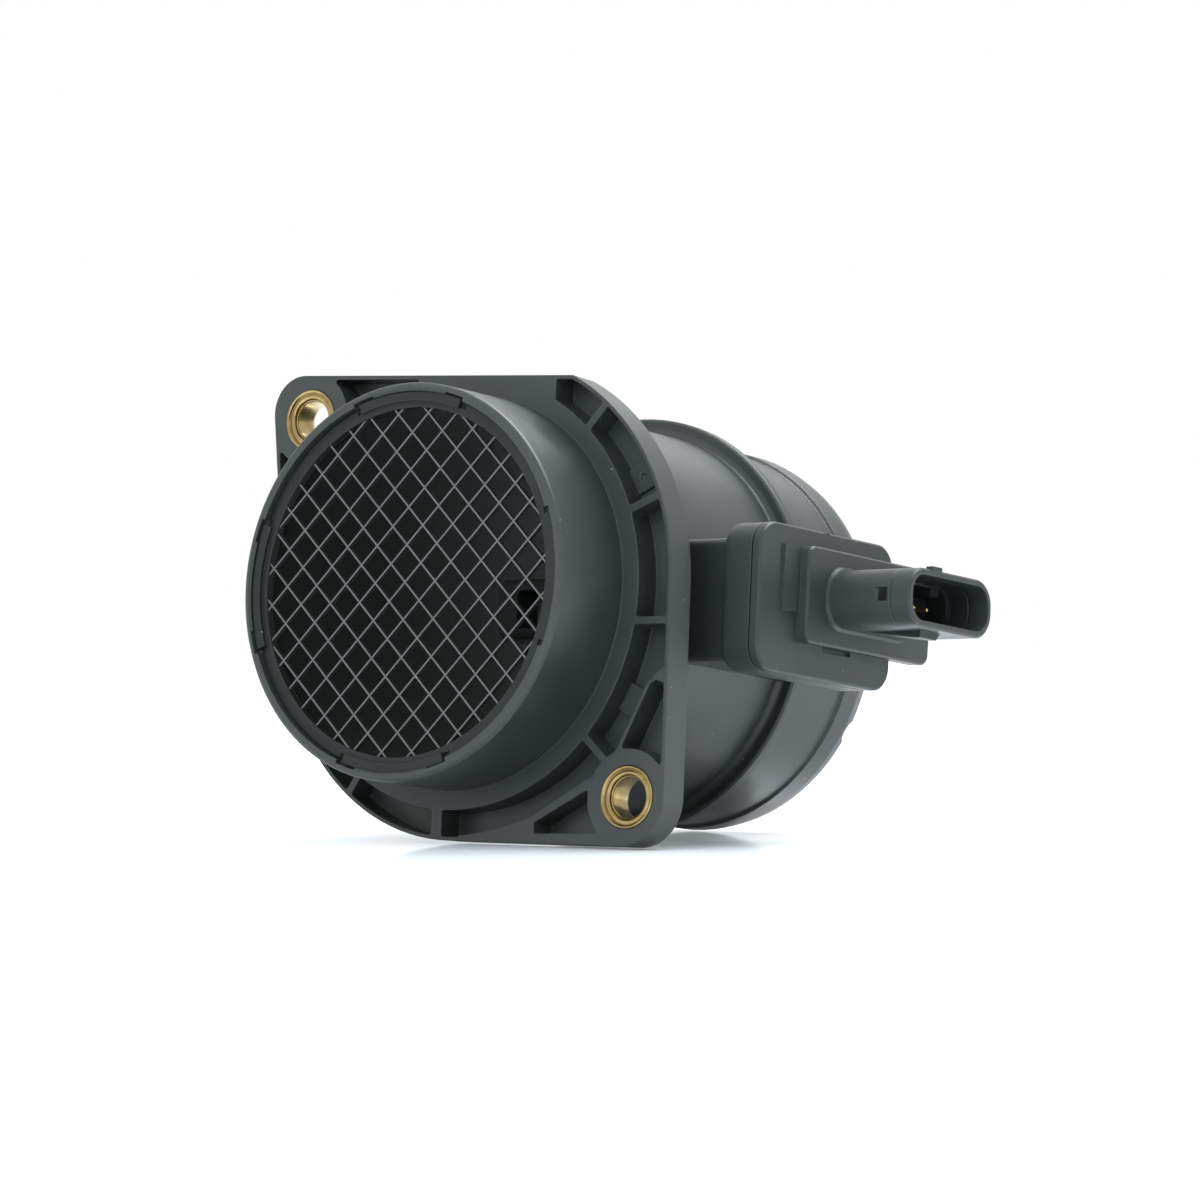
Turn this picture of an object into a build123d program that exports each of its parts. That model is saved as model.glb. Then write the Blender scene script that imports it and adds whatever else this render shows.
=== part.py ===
from build123d import *
from math import acos, cos, degrees, radians, sin
import os

os.makedirs("parts", exist_ok=True)

# Frame: +Y is the air flow (inlet at -Y), +X points to the connector, +Z is up.
# The origin is on the duct axis, in the front (mounting) plane of the flange.

# ---------------------------------------------------------------- duct
INLET_R = 35.0              # outside of the inlet spigot, 70 mm hose size
INLET_LENGTH = 18.0         # spigot in front of the flange
LIP_WALL = 1.8              # spigot wall left round the counterbore
SEAT_R = INLET_R - LIP_WALL
SEAT_DEPTH = 3.8            # counterbore that takes the inlet grid
SEAT_LEDGE = 1.6
BORE_R = SEAT_R - SEAT_LEDGE
BODY_WALL = 3.8
BODY_R = BORE_R + BODY_WALL
STOP_H = 2.9                # ring that stops the outlet hose
STOP_R = BODY_R + STOP_H
STOP_START = 51.0
STOP_WIDTH = 2.4
STOP_END = STOP_START + STOP_WIDTH
TAIL_WALL = 3.3             # outlet hose spigot
TAIL_R = BORE_R + TAIL_WALL
BEAD_H = 0.55               # bead that holds the hose
BEAD_R = TAIL_R + BEAD_H
OUTLET_END = 78.5
BEAD_LENGTH = 7.1
BEAD_START = OUTLET_END - BEAD_LENGTH
OUTLET_FLARE = 1.2          # widening of the bore at the outlet
FLARE_LENGTH = 4.0
LEAD_LENGTH = 2.2           # slanted end of the bead, to start the hose
LEAD_H = 0.5
EDGE_NOTCH_ANGLE = -29.6    # centre of the notch in the outlet edge, degrees from +X
EDGE_NOTCH_WIDTH = 4.6
EDGE_NOTCH_OUT = 0.9        # centre of the round notch beyond the outlet edge
RIM_ROUND = 0.9             # lip of the inlet spigot
STOP_FILLET = 1.3           # body to stop ring
SMALL_BREAK = 0.4
RECESS_H = 0.65             # recesses in the counterbore wall for the hooks of the grid
RECESS_R = SEAT_R + RECESS_H
RECESS_SPAN = 42.0          # degrees covered by each recess
RIDGE_H = 0.45              # ridges in the recesses that hold the hooks
RIDGE_W = 0.22
RIDGE_SINK = 0.4
RIDGE_SPAN = (-8.0, 8.0)

# ---------------------------------------------------------------- flange
FLANGE_T = 6.3
FLANGE_DRAFT = 2.0          # the outline shrinks towards the back, degrees
ARC_CENTRE = (4.0, 0.8)     # centre of the upper right arc of the outline
HUB_STEP = 3.4              # solid collar round the spigot
HUB_R = INLET_R + HUB_STEP
ARC_MARGIN = 2.8
ARC_R = HUB_R + ARC_MARGIN
RIGHT_SLOPE = 0.7           # right edge, degrees out of upright
TOP_CORNER_X = 22.2         # sharp corner where the arc meets the top edge
TOP_SLOPE = 2.8             # top edge, degrees down towards +X
LOW_ARC_CENTRE = (1.0, -2.9)
LOW_ARC_MARGIN = 2.5
LOW_ARC_R = HUB_R + LOW_ARC_MARGIN
LEFT_SLOPE = 7.2            # left edge, degrees out of upright
BOTTOM_SLOPE = 1.7          # bottom edge, degrees down towards +X
UPPER_CORNER_R = 6.5
LOWER_CORNER_R = 8.5
POCKET_DEPTH = 5.3
RIM_WALL = 0.7              # thin rim left outside the pockets
POCKET_CORNER_R = 0.45
RIB_T = 1.3
RIB_REACH = 30.0            # ribs and lands run this far across the pocket, to be cut by its outline
LAND_REACH = 20.0
RIB_ANGLES = (47.5, 20.8, -42.4, -123.5, 152.0)
LEVEL_RIB_Z = -5.85
UPRIGHT_RIB_X = -3.1
UPRIGHT_RIB_T = 2.2
LEFT_LAND_MID = -3.0        # the outline comes close to the collar here, so it stays solid
LEFT_LAND_H = 17.0
TOP_LAND_MID = 3.3          # the top edge is solid here
TOP_LAND_W = 30.6
RIGHT_WALL = ((44.8, -13.8), (43.2, -14.8), (40.8, -17.2), (35.0, -28.6), (36.3, -28.9), (36.5, -27.2),
              (41.8, -16.8), (43.0, -16.2), (44.8, -16.8))
BOTTOM_WALL = ((32.0, -32.2), (28.7, -33.5), (17.4, -39.7), (11.0, -41.4), (6.7, -42.3), (2.0, -42.9),
               (2.0, -46.0), (37.0, -46.0), (37.0, -42.6), (32.0, -42.6))
BOTTOM_POCKET = ((32.0, -33.7), (18.3, -40.7), (18.3, -42.6), (32.0, -42.6))
BOSS_WALL = 2.9             # plastic left round each bush
STEP_ANGLES = (24.0, 29.5)  # raised step on the floor of the upper right pocket
STEP_H = 0.5
DIMPLE_AT = (38.8, 19.0)    # round dimple in that step
DIMPLE_R = 0.8
FLOOR_SLOT = ((37.6, 16.2), (40.3, 17.7), (40.9, 16.7), (37.9, 14.6))
LOW_STEP = ((38.1, -17.6), (39.8, -17.9), (38.1, -22.6), (36.2, -21.7))

# ---------------------------------------------------------------- bushes
TOP_INSET = 8.02            # upper bolt to the top and left edges of the flange
LEFT_INSET = 8.24
BOTTOM_INSET = 8.51         # lower bolt to the bottom and right edges
RIGHT_INSET = 7.66
BUSH_BORE_R = 3.5           # clearance for an M6 screw
BUSH_SHANK_R = 4.5
BUSH_LIP_R = 5.5
BUSH_LIP_T = 0.9
BUSH_PROUD = 0.3            # lip stands above the flange face
BUSH_FIT = 0.05             # radial clearance of a bush in its hole
BUSH_FLARE = 0.9            # widening of the bore at the front mouth
BUSH_MOUTH = 0.65           # depth of that widening
BUSH_TAIL_FLARE = 0.7       # longer, narrower widening at the back
BUSH_TAIL = 1.2
LIP_GROOVE_R = 4.75
LIP_GROOVE_W = 0.25
LIP_ROUND = 0.35
LIP_SEAT = BUSH_LIP_T - BUSH_PROUD

# ---------------------------------------------------------------- inlet grid
GRID_FIT = 0.15             # radial clearance in the counterbore
GRID_OUTER_R = SEAT_R - GRID_FIT
GRID_RIM = 2.35
GRID_OPEN_R = GRID_OUTER_R - GRID_RIM
GRID_SEAT_GAP = 0.1         # play behind the grid in its counterbore
GRID_T = 2.4
GRID_BACK = SEAT_DEPTH - INLET_LENGTH - GRID_SEAT_GAP
GRID_FRONT = GRID_BACK - GRID_T
WEB_SINK = 0.4              # web behind the front of the rim
WEB_DEPTH = 1.0
WEB_FRONT = GRID_FRONT + WEB_SINK
WEB_BACK = WEB_FRONT + WEB_DEPTH
MESH_DIAGONAL = 6.59        # node to node across a diamond
WEB_T = 0.4
SMALLEST_HOLE = 0.6         # slivers of a diamond below this area are left filled, mm2
HOOK_SPAN = 39.0            # degrees covered by each snap hook
HOOK_REACH = 0.75           # hook in front of the ring
HOOK_GAP = 1.3              # slot between a hook and the rest of the ring, degrees and mm
HOOK_T = 1.9
HOOK_FIT = 0.2              # hook to recess, radial and behind
HOOK_R = RECESS_R - HOOK_FIT
HOOK_SLOT_DEEP = 1.1
RIDGE_GAP = 0.25            # ridges in front of the hooks
RIDGE_Y = GRID_FRONT - HOOK_REACH - RIDGE_GAP

# ---------------------------------------------------------------- sensor boss
HEAD_Z = 0.5                # mid height of the head
PAD_START = 17.3            # mounting pad, along Y
PAD_LENGTH = 41.2
PAD_END = PAD_START + PAD_LENGTH
NECK_INSET = 1.4            # the neck is shorter than the pad at both ends
NECK_START = PAD_START + NECK_INSET
NECK_END = PAD_END - NECK_INSET
NECK_HALF_H = 10.85         # the neck is centred on the duct axis
NECK_CORNER_R = 1.6
PAD_REACH = 14.4            # pad face beyond the duct body
PAD_FACE = BODY_R + PAD_REACH
PAD_T = 6.4
PAD_BACK = PAD_FACE - PAD_T
PAD_HALF_H = 13.1
PAD_CORNER_R = 4.6
ROOT_INSET = 5.6            # finger root inside the pad, along Y
ROOT_START = PAD_START + ROOT_INSET
ROOT_END = PAD_END - ROOT_INSET
ROOT_HALF_H = 6.5
ROOT_CORNER_R = 3.0
ROOT_FIT = 0.15             # gap all round between root and boss
PAD_ROUND = 1.7             # back edge of the pad, towards the neck

# ---------------------------------------------------------------- sensor head
SEAM = 0.5                  # visible gap between pad and cover plate
SEAT_LAND = 2.4             # raised land under the plate that bears on the pad
PLATE_T = 1.7
PLATE_FACE = PAD_FACE + SEAM + PLATE_T
PLATE_LAP = 0.35            # cover plate longer than the pad at both ends
EDGE_BREAK = 0.35
TOP_NOTCH_Y = (36.4, 38.4)
TOP_NOTCH_H = 0.35
TOP_NOTCH_DEPTH = 3.0       # more than the plate is thick
RAISED_Y = (23.8, 29.2)     # low raised pad beside the connector base
RAISED_Z = (-1.6, 10.1)
RAISED_T = 0.5
UNDER_SLOT_X = (PLATE_FACE - 0.6, PLATE_FACE + 1.0)
UNDER_SLOT_Y = (37.2, 46.0)
UNDER_SLOT_Z = (-7.5, -6.8)
BASE_H = 2.3
BASE_FACE = PLATE_FACE + BASE_H
BASE_START = 28.7
BASE_END = 68.0
BASE_TOP = 10.4
BASE_BOTTOM = -6.8
BASE_CORNER_R = 2.0
SHROUD_LENGTH = 17.1
SHROUD_END = BASE_FACE + SHROUD_LENGTH
SHROUD_START = 34.8
SHROUD_STOP = 61.6
SHROUD_Z = 1.85
SHROUD_HALF_H = 5.2
SHROUD_CORNER_R = 4.6
SHROUD_WALL = 1.15
SOCKET_DEPTH = 12.8
SOCKET_FLOOR = SHROUD_END - SOCKET_DEPTH
STEP_DEPTH = 8.2            # the socket narrows below this
SOCKET_STEP = SHROUD_END - STEP_DEPTH
SOCKET_STEP_IN = 0.9
SOCKET_MID = (SHROUD_START + SHROUD_STOP) / 2
FOOT_T = 0.5                # raised line round the root of the shroud
FOOT_W = 0.55
LATCH_START = BASE_FACE + 2.5
LATCH_END = SHROUD_END - 3.6
LATCH_H = 1.2
LATCH_SLANT = 1.0           # outer edge of the latch cut off at a slant
LATCH_Y = (44.2, 50.4)
KEY_Y = (42.0, 45.0)        # small key on the rim of the socket
KEY_LENGTH = 1.4
KEY_H = 0.6
CODE_Y = (54.4, 56.8)       # coding rib inside the socket
CODE_END = SOCKET_STEP - 0.2
CODE_H = 1.9
WINDOW_X = (SHROUD_END - 7.2, SHROUD_END - 4.7)
WINDOW_Z = (0.9, 3.3)

# ---------------------------------------------------------------- finger
BLADE_START = ROOT_START + 2.6   # leading edge
BLADE_END = ROOT_END - 4.4       # trailing edge
BLADE_TIP = -11.0
BLADE_HALF_T = 5.5
BLADE_CORNER_R = 2.65
ROOT_DEPTH = 8.8            # the blade changes to the wider root this far inside the pad
BLADE_ROOT = PAD_FACE - ROOT_DEPTH
COVER_T = 1.3
COVER_FIT = 0.15
REBATE_LIP = 1.2            # ledge the covers rest on
TRAY_X = (15.0, BLADE_ROOT - 1.6)
TRAY_Y = (BLADE_START + 4.2, BLADE_END - 4.2)
FLOOR_WALL = 1.8            # plastic under the tray and the bypass
TRAY_FLOOR = HEAD_Z - BLADE_HALF_T + FLOOR_WALL
LEDGE_X = TRAY_X[1] - 2.4   # ledge that carries the terminals
CHANNEL_W = 4.6
CHANNEL_FLOOR = TRAY_FLOOR
CHANNEL_LEGS = (-4.6, 4.6)  # middles of the two legs of the bypass, along X
CHANNEL_BEND_Y = 37.5
CHANNEL_LOW = 29.8
OUTLET_L = 5.0
BYPASS_COVER_X = (-8.4, 8.4)
BYPASS_COVER_Y = (28.4, 45.6)
TONGUE_Y = (32.8, 35.8)
SEAL_X = PAD_FACE - 5.6
SEAL_R = 1.1
SEAL_CLEAR = 0.03
SEAL_SEAT = 2.12            # depth of the seal groove in the root

# ---------------------------------------------------------------- electronics
TERMINAL_W = 0.8
TERMINAL_T = 0.6
TERMINAL_PITCH = 4.25
INNER_PITCH = 3.1
TERMINAL_INNER = LEDGE_X + 0.2
TERMINAL_BEND = PAD_FACE - 2.8
TERMINAL_TIP = SOCKET_FLOOR + 2.6
TERMINAL_Z = SHROUD_Z
STACK_GAP = 0.02            # bond line between stacked pieces
HEAT_PLATE_X = (TRAY_X[0] + COVER_FIT, LEDGE_X - 0.2)
HEAT_PLATE_T = 1.3
BOARD_X = (TRAY_X[0] + 2.6, LEDGE_X - 0.4)
BOARD_T = 0.7
BOARD_INSET = 1.2
BOARD_Y = (TRAY_Y[0] + BOARD_INSET, TRAY_Y[1] - BOARD_INSET)
CHIP_PLACE = 6.4            # evaluation chip from the inner end of the board
CHIP_SIZE = (7.0, 8.0)
CAPACITOR_PLACE = 1.9       # capacitors from the inner end, and from the sides of the board
CAPACITOR_EDGE = 0.1
CAPACITOR_SIZE = (3.2, 1.6)
TONGUE_T = 0.5
CHIP_T = 0.5
CHIP_PART_H = 1.1
CAPACITOR_H = 1.25
LEAD_X = 24.0
LEAD_Y = (34.6, 39.6)
LEAD_R = 0.3
LEAD_FIT = 0.05
LEAD_IN = 1.0               # depth of a lead in the blade
LEAD_BEND_R = 0.8
NTC_OUT = 3.4               # bead centre in front of the blade face
NTC_R = 1.1
NTC_L = 2.4
NTC_ROUND = 0.6


def polar(r, angle):
    return (r * cos(radians(angle)), r * sin(radians(angle)))


def slab(sketch, start, end):
    """Extrude a sketch drawn in (X, Z) from Y=start to Y=end."""
    return Pos(0, start, 0) * extrude(Plane.XZ * sketch, amount=-(end - start))


def block(x_range, y_range, z_range):
    size = [b - a for a, b in (x_range, y_range, z_range)]
    mid = [(a + b) / 2 for a, b in (x_range, y_range, z_range)]
    return Pos(*mid) * Box(*size)


def plate_yz(start, end, y_range, z_range, corner):
    """Rounded plate with its outline in (Y, Z), from X=start to X=end."""
    width = y_range[1] - y_range[0]
    height = z_range[1] - z_range[0]
    outline = RectangleRounded(width, height, corner)
    middle = ((y_range[0] + y_range[1]) / 2, (z_range[0] + z_range[1]) / 2)
    return extrude(Plane.YZ.offset(start) * Pos(*middle) * outline, amount=end - start)


def turned(points, axis_at=(0.0, 0.0)):
    """Revolve a closed (radius, y) outline about an axis parallel to Y."""
    face = make_face(Polyline(*points, close=True))
    return Pos(axis_at[0], 0, axis_at[1]) * revolve(face, Axis.Y, 360)


def round_corners(sketch, radius):
    """Round the outward corners of every region; a region too narrow for that keeps its corners."""
    rounded = Sketch()
    for region in sketch.faces():
        try:
            rounded += offset(offset(region, -radius, kind=Kind.INTERSECTION), radius, kind=Kind.ARC)
        except RuntimeError:
            rounded += region
    return rounded


def fan(start, end):
    """Pie slice of the flange plane between two angles."""
    reach = 2 * HUB_R
    corners = [(0, 0)] + [polar(reach, a) for a in (start, (start + end) / 2, end)]
    return make_face(Polyline(*corners, close=True))


def crossing(p, p_way, q, q_way):
    """Point where the line from p along p_way meets the line from q along q_way."""
    across = p_way[0] * q_way[1] - p_way[1] * q_way[0]
    t = ((q[0] - p[0]) * q_way[1] - (q[1] - p[1]) * q_way[0]) / across
    return (p[0] + t * p_way[0], p[1] + t * p_way[1])


def flange_edges():
    """Straight edges of the flange as (point, direction), and the arcs that join them."""
    cx, cz = ARC_CENTRE
    sweep = degrees(acos((TOP_CORNER_X - cx) / ARC_R))
    arc = [(cx + ARC_R * cos(radians(a)), cz + ARC_R * sin(radians(a))) for a in (sweep, sweep / 2, RIGHT_SLOPE)]
    lx, lz = LOW_ARC_CENTRE
    low_angles = (270 - BOTTOM_SLOPE, 225, 180 + LEFT_SLOPE)
    low_arc = [(lx + LOW_ARC_R * cos(radians(a)), lz + LOW_ARC_R * sin(radians(a))) for a in low_angles]
    top = (arc[0], polar(1, 180 - TOP_SLOPE))
    right = (arc[2], polar(1, RIGHT_SLOPE - 90))
    bottom = (low_arc[0], polar(1, 180 - BOTTOM_SLOPE))
    left = (low_arc[2], polar(1, 90 + LEFT_SLOPE))
    return top, right, bottom, left, arc, low_arc


def moved_in(edge, inset):
    """The same edge, moved towards the middle of the flange."""
    (x, z), (way_x, way_z) = edge
    side = -1 if x * -way_z + z * way_x > 0 else 1
    return (x - side * way_z * inset, z + side * way_x * inset), (way_x, way_z)


def upper_bolt():
    top, right, bottom, left, arc, low_arc = flange_edges()
    return crossing(*moved_in(top, TOP_INSET), *moved_in(left, LEFT_INSET))


def lower_bolt():
    top, right, bottom, left, arc, low_arc = flange_edges()
    return crossing(*moved_in(bottom, BOTTOM_INSET), *moved_in(right, RIGHT_INSET))


def flange_outline():
    """Leaf outline: two full corners for the bolts, the other two cut away by big arcs."""
    top, right, bottom, left, arc, low_arc = flange_edges()
    bottom_right = crossing(*right, *bottom)
    top_left = crossing(*left, *top)
    outline = make_face([
        Line(top_left, arc[0]),
        ThreePointArc(*arc),
        Line(arc[2], bottom_right),
        Line(bottom_right, low_arc[0]),
        ThreePointArc(*low_arc),
        Line(low_arc[2], top_left),
    ])
    outline = fillet(nearest(outline, top_left), UPPER_CORNER_R)
    return fillet(nearest(outline, bottom_right), LOWER_CORNER_R)


def nearest(shape, point):
    return shape.vertices().sort_by_distance((*point, 0))[0]


def flange_pockets(outline):
    """Pockets that open to the front, drawn in the flange plane."""
    boss_r = BUSH_LIP_R + BOSS_WALL
    pockets = offset(outline, -RIM_WALL) - Circle(HUB_R)
    for rib_angle in RIB_ANGLES:
        pockets -= Rot(0, 0, rib_angle) * Pos(HUB_R, 0) * Rectangle(RIB_REACH, RIB_T)
    pockets -= Pos(HUB_R, LEVEL_RIB_Z) * Rectangle(RIB_REACH, RIB_T)
    pockets -= Pos(UPRIGHT_RIB_X, -HUB_R) * Rectangle(UPRIGHT_RIB_T, LAND_REACH)
    pockets -= Pos(TOP_LAND_MID, HUB_R) * Rectangle(TOP_LAND_W, LAND_REACH)
    pockets -= Pos(-HUB_R, LEFT_LAND_MID) * Rectangle(LAND_REACH, LEFT_LAND_H)
    pockets -= make_face(Polyline(*RIGHT_WALL, close=True))
    pockets -= make_face(Polyline(*BOTTOM_WALL, close=True))
    pockets += make_face(Polyline(*BOTTOM_POCKET, close=True))
    pockets -= Pos(*upper_bolt()) * Circle(boss_r)
    pockets -= Pos(*lower_bolt()) * Circle(boss_r)
    return round_corners(pockets, POCKET_CORNER_R)


def duct_outside():
    """Everything that is turned about the duct axis, still solid inside."""
    profile = make_face(Polyline(
        (0, -INLET_LENGTH), (INLET_R, -INLET_LENGTH), (INLET_R, 0), (HUB_R, 0), (HUB_R, FLANGE_T),
        (BODY_R, FLANGE_T), (BODY_R, STOP_START), (STOP_R, STOP_START), (STOP_R, STOP_END),
        (TAIL_R, STOP_END), (TAIL_R, BEAD_START), (BEAD_R, BEAD_START + BEAD_R - TAIL_R),
        (BEAD_R, OUTLET_END - LEAD_LENGTH), (BEAD_R - LEAD_H, OUTLET_END), (0, OUTLET_END), close=True))
    profile = fillet(nearest(profile, (INLET_R, -INLET_LENGTH)), RIM_ROUND)
    profile = fillet(nearest(profile, (BODY_R, STOP_START)), STOP_FILLET)
    profile = chamfer(nearest(profile, (STOP_R, STOP_START)), SMALL_BREAK)
    profile = chamfer(nearest(profile, (STOP_R, STOP_END)), SMALL_BREAK)
    return revolve(profile, Axis.Y, 360)


def duct_inside():
    """Air passage with the counterbore for the grid and the flared outlet."""
    seat_floor = SEAT_DEPTH - INLET_LENGTH
    return turned([
        (0, -INLET_LENGTH - 1), (SEAT_R, -INLET_LENGTH - 1), (SEAT_R, seat_floor), (BORE_R, seat_floor),
        (BORE_R, OUTLET_END - FLARE_LENGTH), (BORE_R + OUTLET_FLARE, OUTLET_END),
        (BORE_R + OUTLET_FLARE, OUTLET_END + 1), (0, OUTLET_END + 1)])


def hook_recesses():
    """Four recesses in the wall of the counterbore, open to the front."""
    ring = turned([(BORE_R, -INLET_LENGTH - 1), (RECESS_R, -INLET_LENGTH - 1), (RECESS_R, GRID_FRONT + HOOK_FIT),
                   (BORE_R, GRID_FRONT + HOOK_FIT)])
    wedges = [fan(quarter - RECESS_SPAN / 2, quarter + RECESS_SPAN / 2) for quarter in (0, 90, 180, 270)]
    return [ring & slab(wedge, -INLET_LENGTH - 2, 0) for wedge in wedges]


def snap_ridges():
    """Four short ridges in those recesses that the grid hooks click behind."""
    root_r = RECESS_R + RIDGE_SINK
    ring = turned([(RECESS_R - RIDGE_H, RIDGE_Y), (root_r, RIDGE_Y - RIDGE_W), (root_r, RIDGE_Y + RIDGE_W)])
    keep = [Rot(0, quarter, 0) * block((SEAT_R - 3, SEAT_R + 3), (RIDGE_Y - 1, RIDGE_Y + 1), RIDGE_SPAN)
            for quarter in (0, 90, 180, 270)]
    return [ring & piece for piece in keep]


def head_block(start, end, y_range, half_h, corner):
    return plate_yz(start, end, y_range, (HEAD_Z - half_h, HEAD_Z + half_h), corner)


def pocket_floor_marks(pockets):
    """Raised steps on the pocket floors; returns what is added and what is cut."""
    step_top = POCKET_DEPTH - STEP_H
    upper_step = slab(fan(*STEP_ANGLES) & pockets, step_top, POCKET_DEPTH)
    low_step = slab(make_face(Polyline(*LOW_STEP, close=True)), step_top, POCKET_DEPTH)
    dimple = Pos(DIMPLE_AT[0], 0, DIMPLE_AT[1]) * slab(Circle(DIMPLE_R), step_top, step_top + STEP_H / 2)
    slot = slab(make_face(Polyline(*FLOOR_SLOT, close=True)), POCKET_DEPTH, POCKET_DEPTH + STEP_H)
    return [upper_step, low_step], [dimple, slot]


def duct_housing():
    outline = flange_outline()
    flange = extrude(Plane.XZ * outline, amount=-FLANGE_T, taper=FLANGE_DRAFT)
    housing = duct_outside() + flange
    pad_y = (PAD_START, PAD_END)
    housing += plate_yz(0, PAD_BACK + PAD_ROUND, (NECK_START, NECK_END), (-NECK_HALF_H, NECK_HALF_H), NECK_CORNER_R)
    pad = head_block(PAD_BACK, PAD_FACE, pad_y, PAD_HALF_H, PAD_CORNER_R)
    housing += fillet(pad.faces().sort_by(Axis.X)[0].edges(), PAD_ROUND)
    housing -= duct_inside()
    pockets = flange_pockets(outline)
    housing -= slab(pockets, -1, POCKET_DEPTH)
    steps, cuts = pocket_floor_marks(pockets)
    for step in steps:
        housing += step
    for cut in cuts:
        housing -= cut
    for recess in hook_recesses():
        housing -= recess
    for ridge in snap_ridges():
        housing += ridge
    for x, z in (upper_bolt(), lower_bolt()):
        housing -= turned([(0, -1), (BUSH_LIP_R + BUSH_FIT, -1), (BUSH_LIP_R + BUSH_FIT, LIP_SEAT),
                           (BUSH_SHANK_R + BUSH_FIT, LIP_SEAT), (BUSH_SHANK_R + BUSH_FIT, FLANGE_T + 1),
                           (0, FLANGE_T + 1)], (x, z))
    slot_y = (BLADE_START - ROOT_FIT, BLADE_END + ROOT_FIT)
    root_y = (ROOT_START - ROOT_FIT, ROOT_END + ROOT_FIT)
    housing -= head_block(BORE_R / 2, PAD_FACE, slot_y, BLADE_HALF_T + ROOT_FIT, BLADE_CORNER_R)
    housing -= head_block(BLADE_ROOT - ROOT_FIT, PAD_FACE + 1, root_y, ROOT_HALF_H + ROOT_FIT, ROOT_CORNER_R)
    notch_at = polar(BEAD_R, EDGE_NOTCH_ANGLE)
    notch = Cylinder(EDGE_NOTCH_WIDTH / 2, 2 * (STOP_R - BORE_R))
    turn = Rot(0, -EDGE_NOTCH_ANGLE, 0) * Rot(0, 90, 0)
    housing -= Pos(notch_at[0], OUTLET_END + EDGE_NOTCH_OUT, notch_at[1]) * turn * notch
    return housing


def inlet_grid():
    """Clip-in grid: ring, diamond web, corner gussets and four snap hooks, one moulding."""
    pitch = MESH_DIAGONAL / 2 ** 0.5
    hole = Rot(0, 0, 45) * Rectangle(pitch - WEB_T, pitch - WEB_T)
    reach = int(2 * GRID_OPEN_R / MESH_DIAGONAL)
    half = MESH_DIAGONAL / 2
    holes = []
    for i in range(-reach, reach + 1):
        for j in range(-reach, reach + 1):
            distance = half * (i * i + j * j) ** 0.5
            if (i + j) % 2 and distance < GRID_OPEN_R + half:
                diamond = Pos(i * half, j * half) * hole
                whole = distance + half < GRID_OPEN_R
                holes += (diamond if whole else diamond & Circle(GRID_OPEN_R)).faces()
    holes = [hole.outer_wire() for hole in holes if hole.area > SMALLEST_HOLE]
    web = slab(Face(Circle(GRID_OPEN_R + WEB_T).wire(), holes), WEB_FRONT, WEB_BACK)
    ring = turned([(GRID_OPEN_R, GRID_FRONT), (GRID_OUTER_R, GRID_FRONT), (GRID_OUTER_R, GRID_BACK),
                   (GRID_OPEN_R, GRID_BACK)])
    hook_ring = turned([(HOOK_R - HOOK_T, GRID_FRONT - HOOK_REACH), (HOOK_R, GRID_FRONT - HOOK_REACH),
                        (HOOK_R, GRID_FRONT), (HOOK_R - HOOK_T, GRID_FRONT)])
    for quarter in (0, 90, 180, 270):
        wedge = fan(quarter - HOOK_SPAN / 2, quarter + HOOK_SPAN / 2)
        ring += hook_ring & slab(wedge, GRID_FRONT - 2 * HOOK_REACH, GRID_BACK)
        for side in (-1, 1):
            slot_angle = quarter + side * (HOOK_SPAN + HOOK_GAP) / 2
            slot = Rot(0, 0, slot_angle) * Pos(GRID_OUTER_R, 0) * Rectangle(2 * HOOK_SLOT_DEEP, HOOK_GAP)
            ring -= slab(slot, GRID_FRONT - 1, WEB_FRONT)
    return ring + web


def bush(at):
    """Brass compression limiter: plain shank, rolled lip with a turned groove, flared mouth."""
    front = -BUSH_PROUD
    profile = make_face(Polyline(
        (BUSH_BORE_R + BUSH_FLARE, front), (LIP_GROOVE_R - LIP_GROOVE_W, front), (LIP_GROOVE_R, front + LIP_GROOVE_W),
        (LIP_GROOVE_R + LIP_GROOVE_W, front), (BUSH_LIP_R - LIP_ROUND, front), (BUSH_LIP_R, front + LIP_ROUND),
        (BUSH_LIP_R, LIP_SEAT), (BUSH_SHANK_R, LIP_SEAT), (BUSH_SHANK_R, FLANGE_T),
        (BUSH_BORE_R + BUSH_TAIL_FLARE, FLANGE_T), (BUSH_BORE_R, FLANGE_T - BUSH_TAIL),
        (BUSH_BORE_R, front + BUSH_MOUTH), close=True))
    return Pos(at[0], 0, at[1]) * revolve(profile, Axis.Y, 360)


def terminal_path(index):
    """Centre line in (X, Y): straight in the tray, slanted through the plate, straight in the socket."""
    inner_y = (TRAY_Y[0] + TRAY_Y[1]) / 2 + (index - 2) * INNER_PITCH
    outer_y = SOCKET_MID + (index - 2) * TERMINAL_PITCH
    return [(TERMINAL_INNER, inner_y), (TERMINAL_BEND, inner_y), (BASE_FACE, outer_y), (TERMINAL_TIP, outer_y)]


def terminal(index):
    pin = extrude(trace(Polyline(*terminal_path(index)), TERMINAL_W), amount=TERMINAL_T)
    pin = Pos(0, 0, TERMINAL_Z - TERMINAL_T / 2) * pin
    tip = pin.faces().sort_by(Axis.X)[-1]
    return chamfer(tip.edges(), TERMINAL_T / 3)


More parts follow.
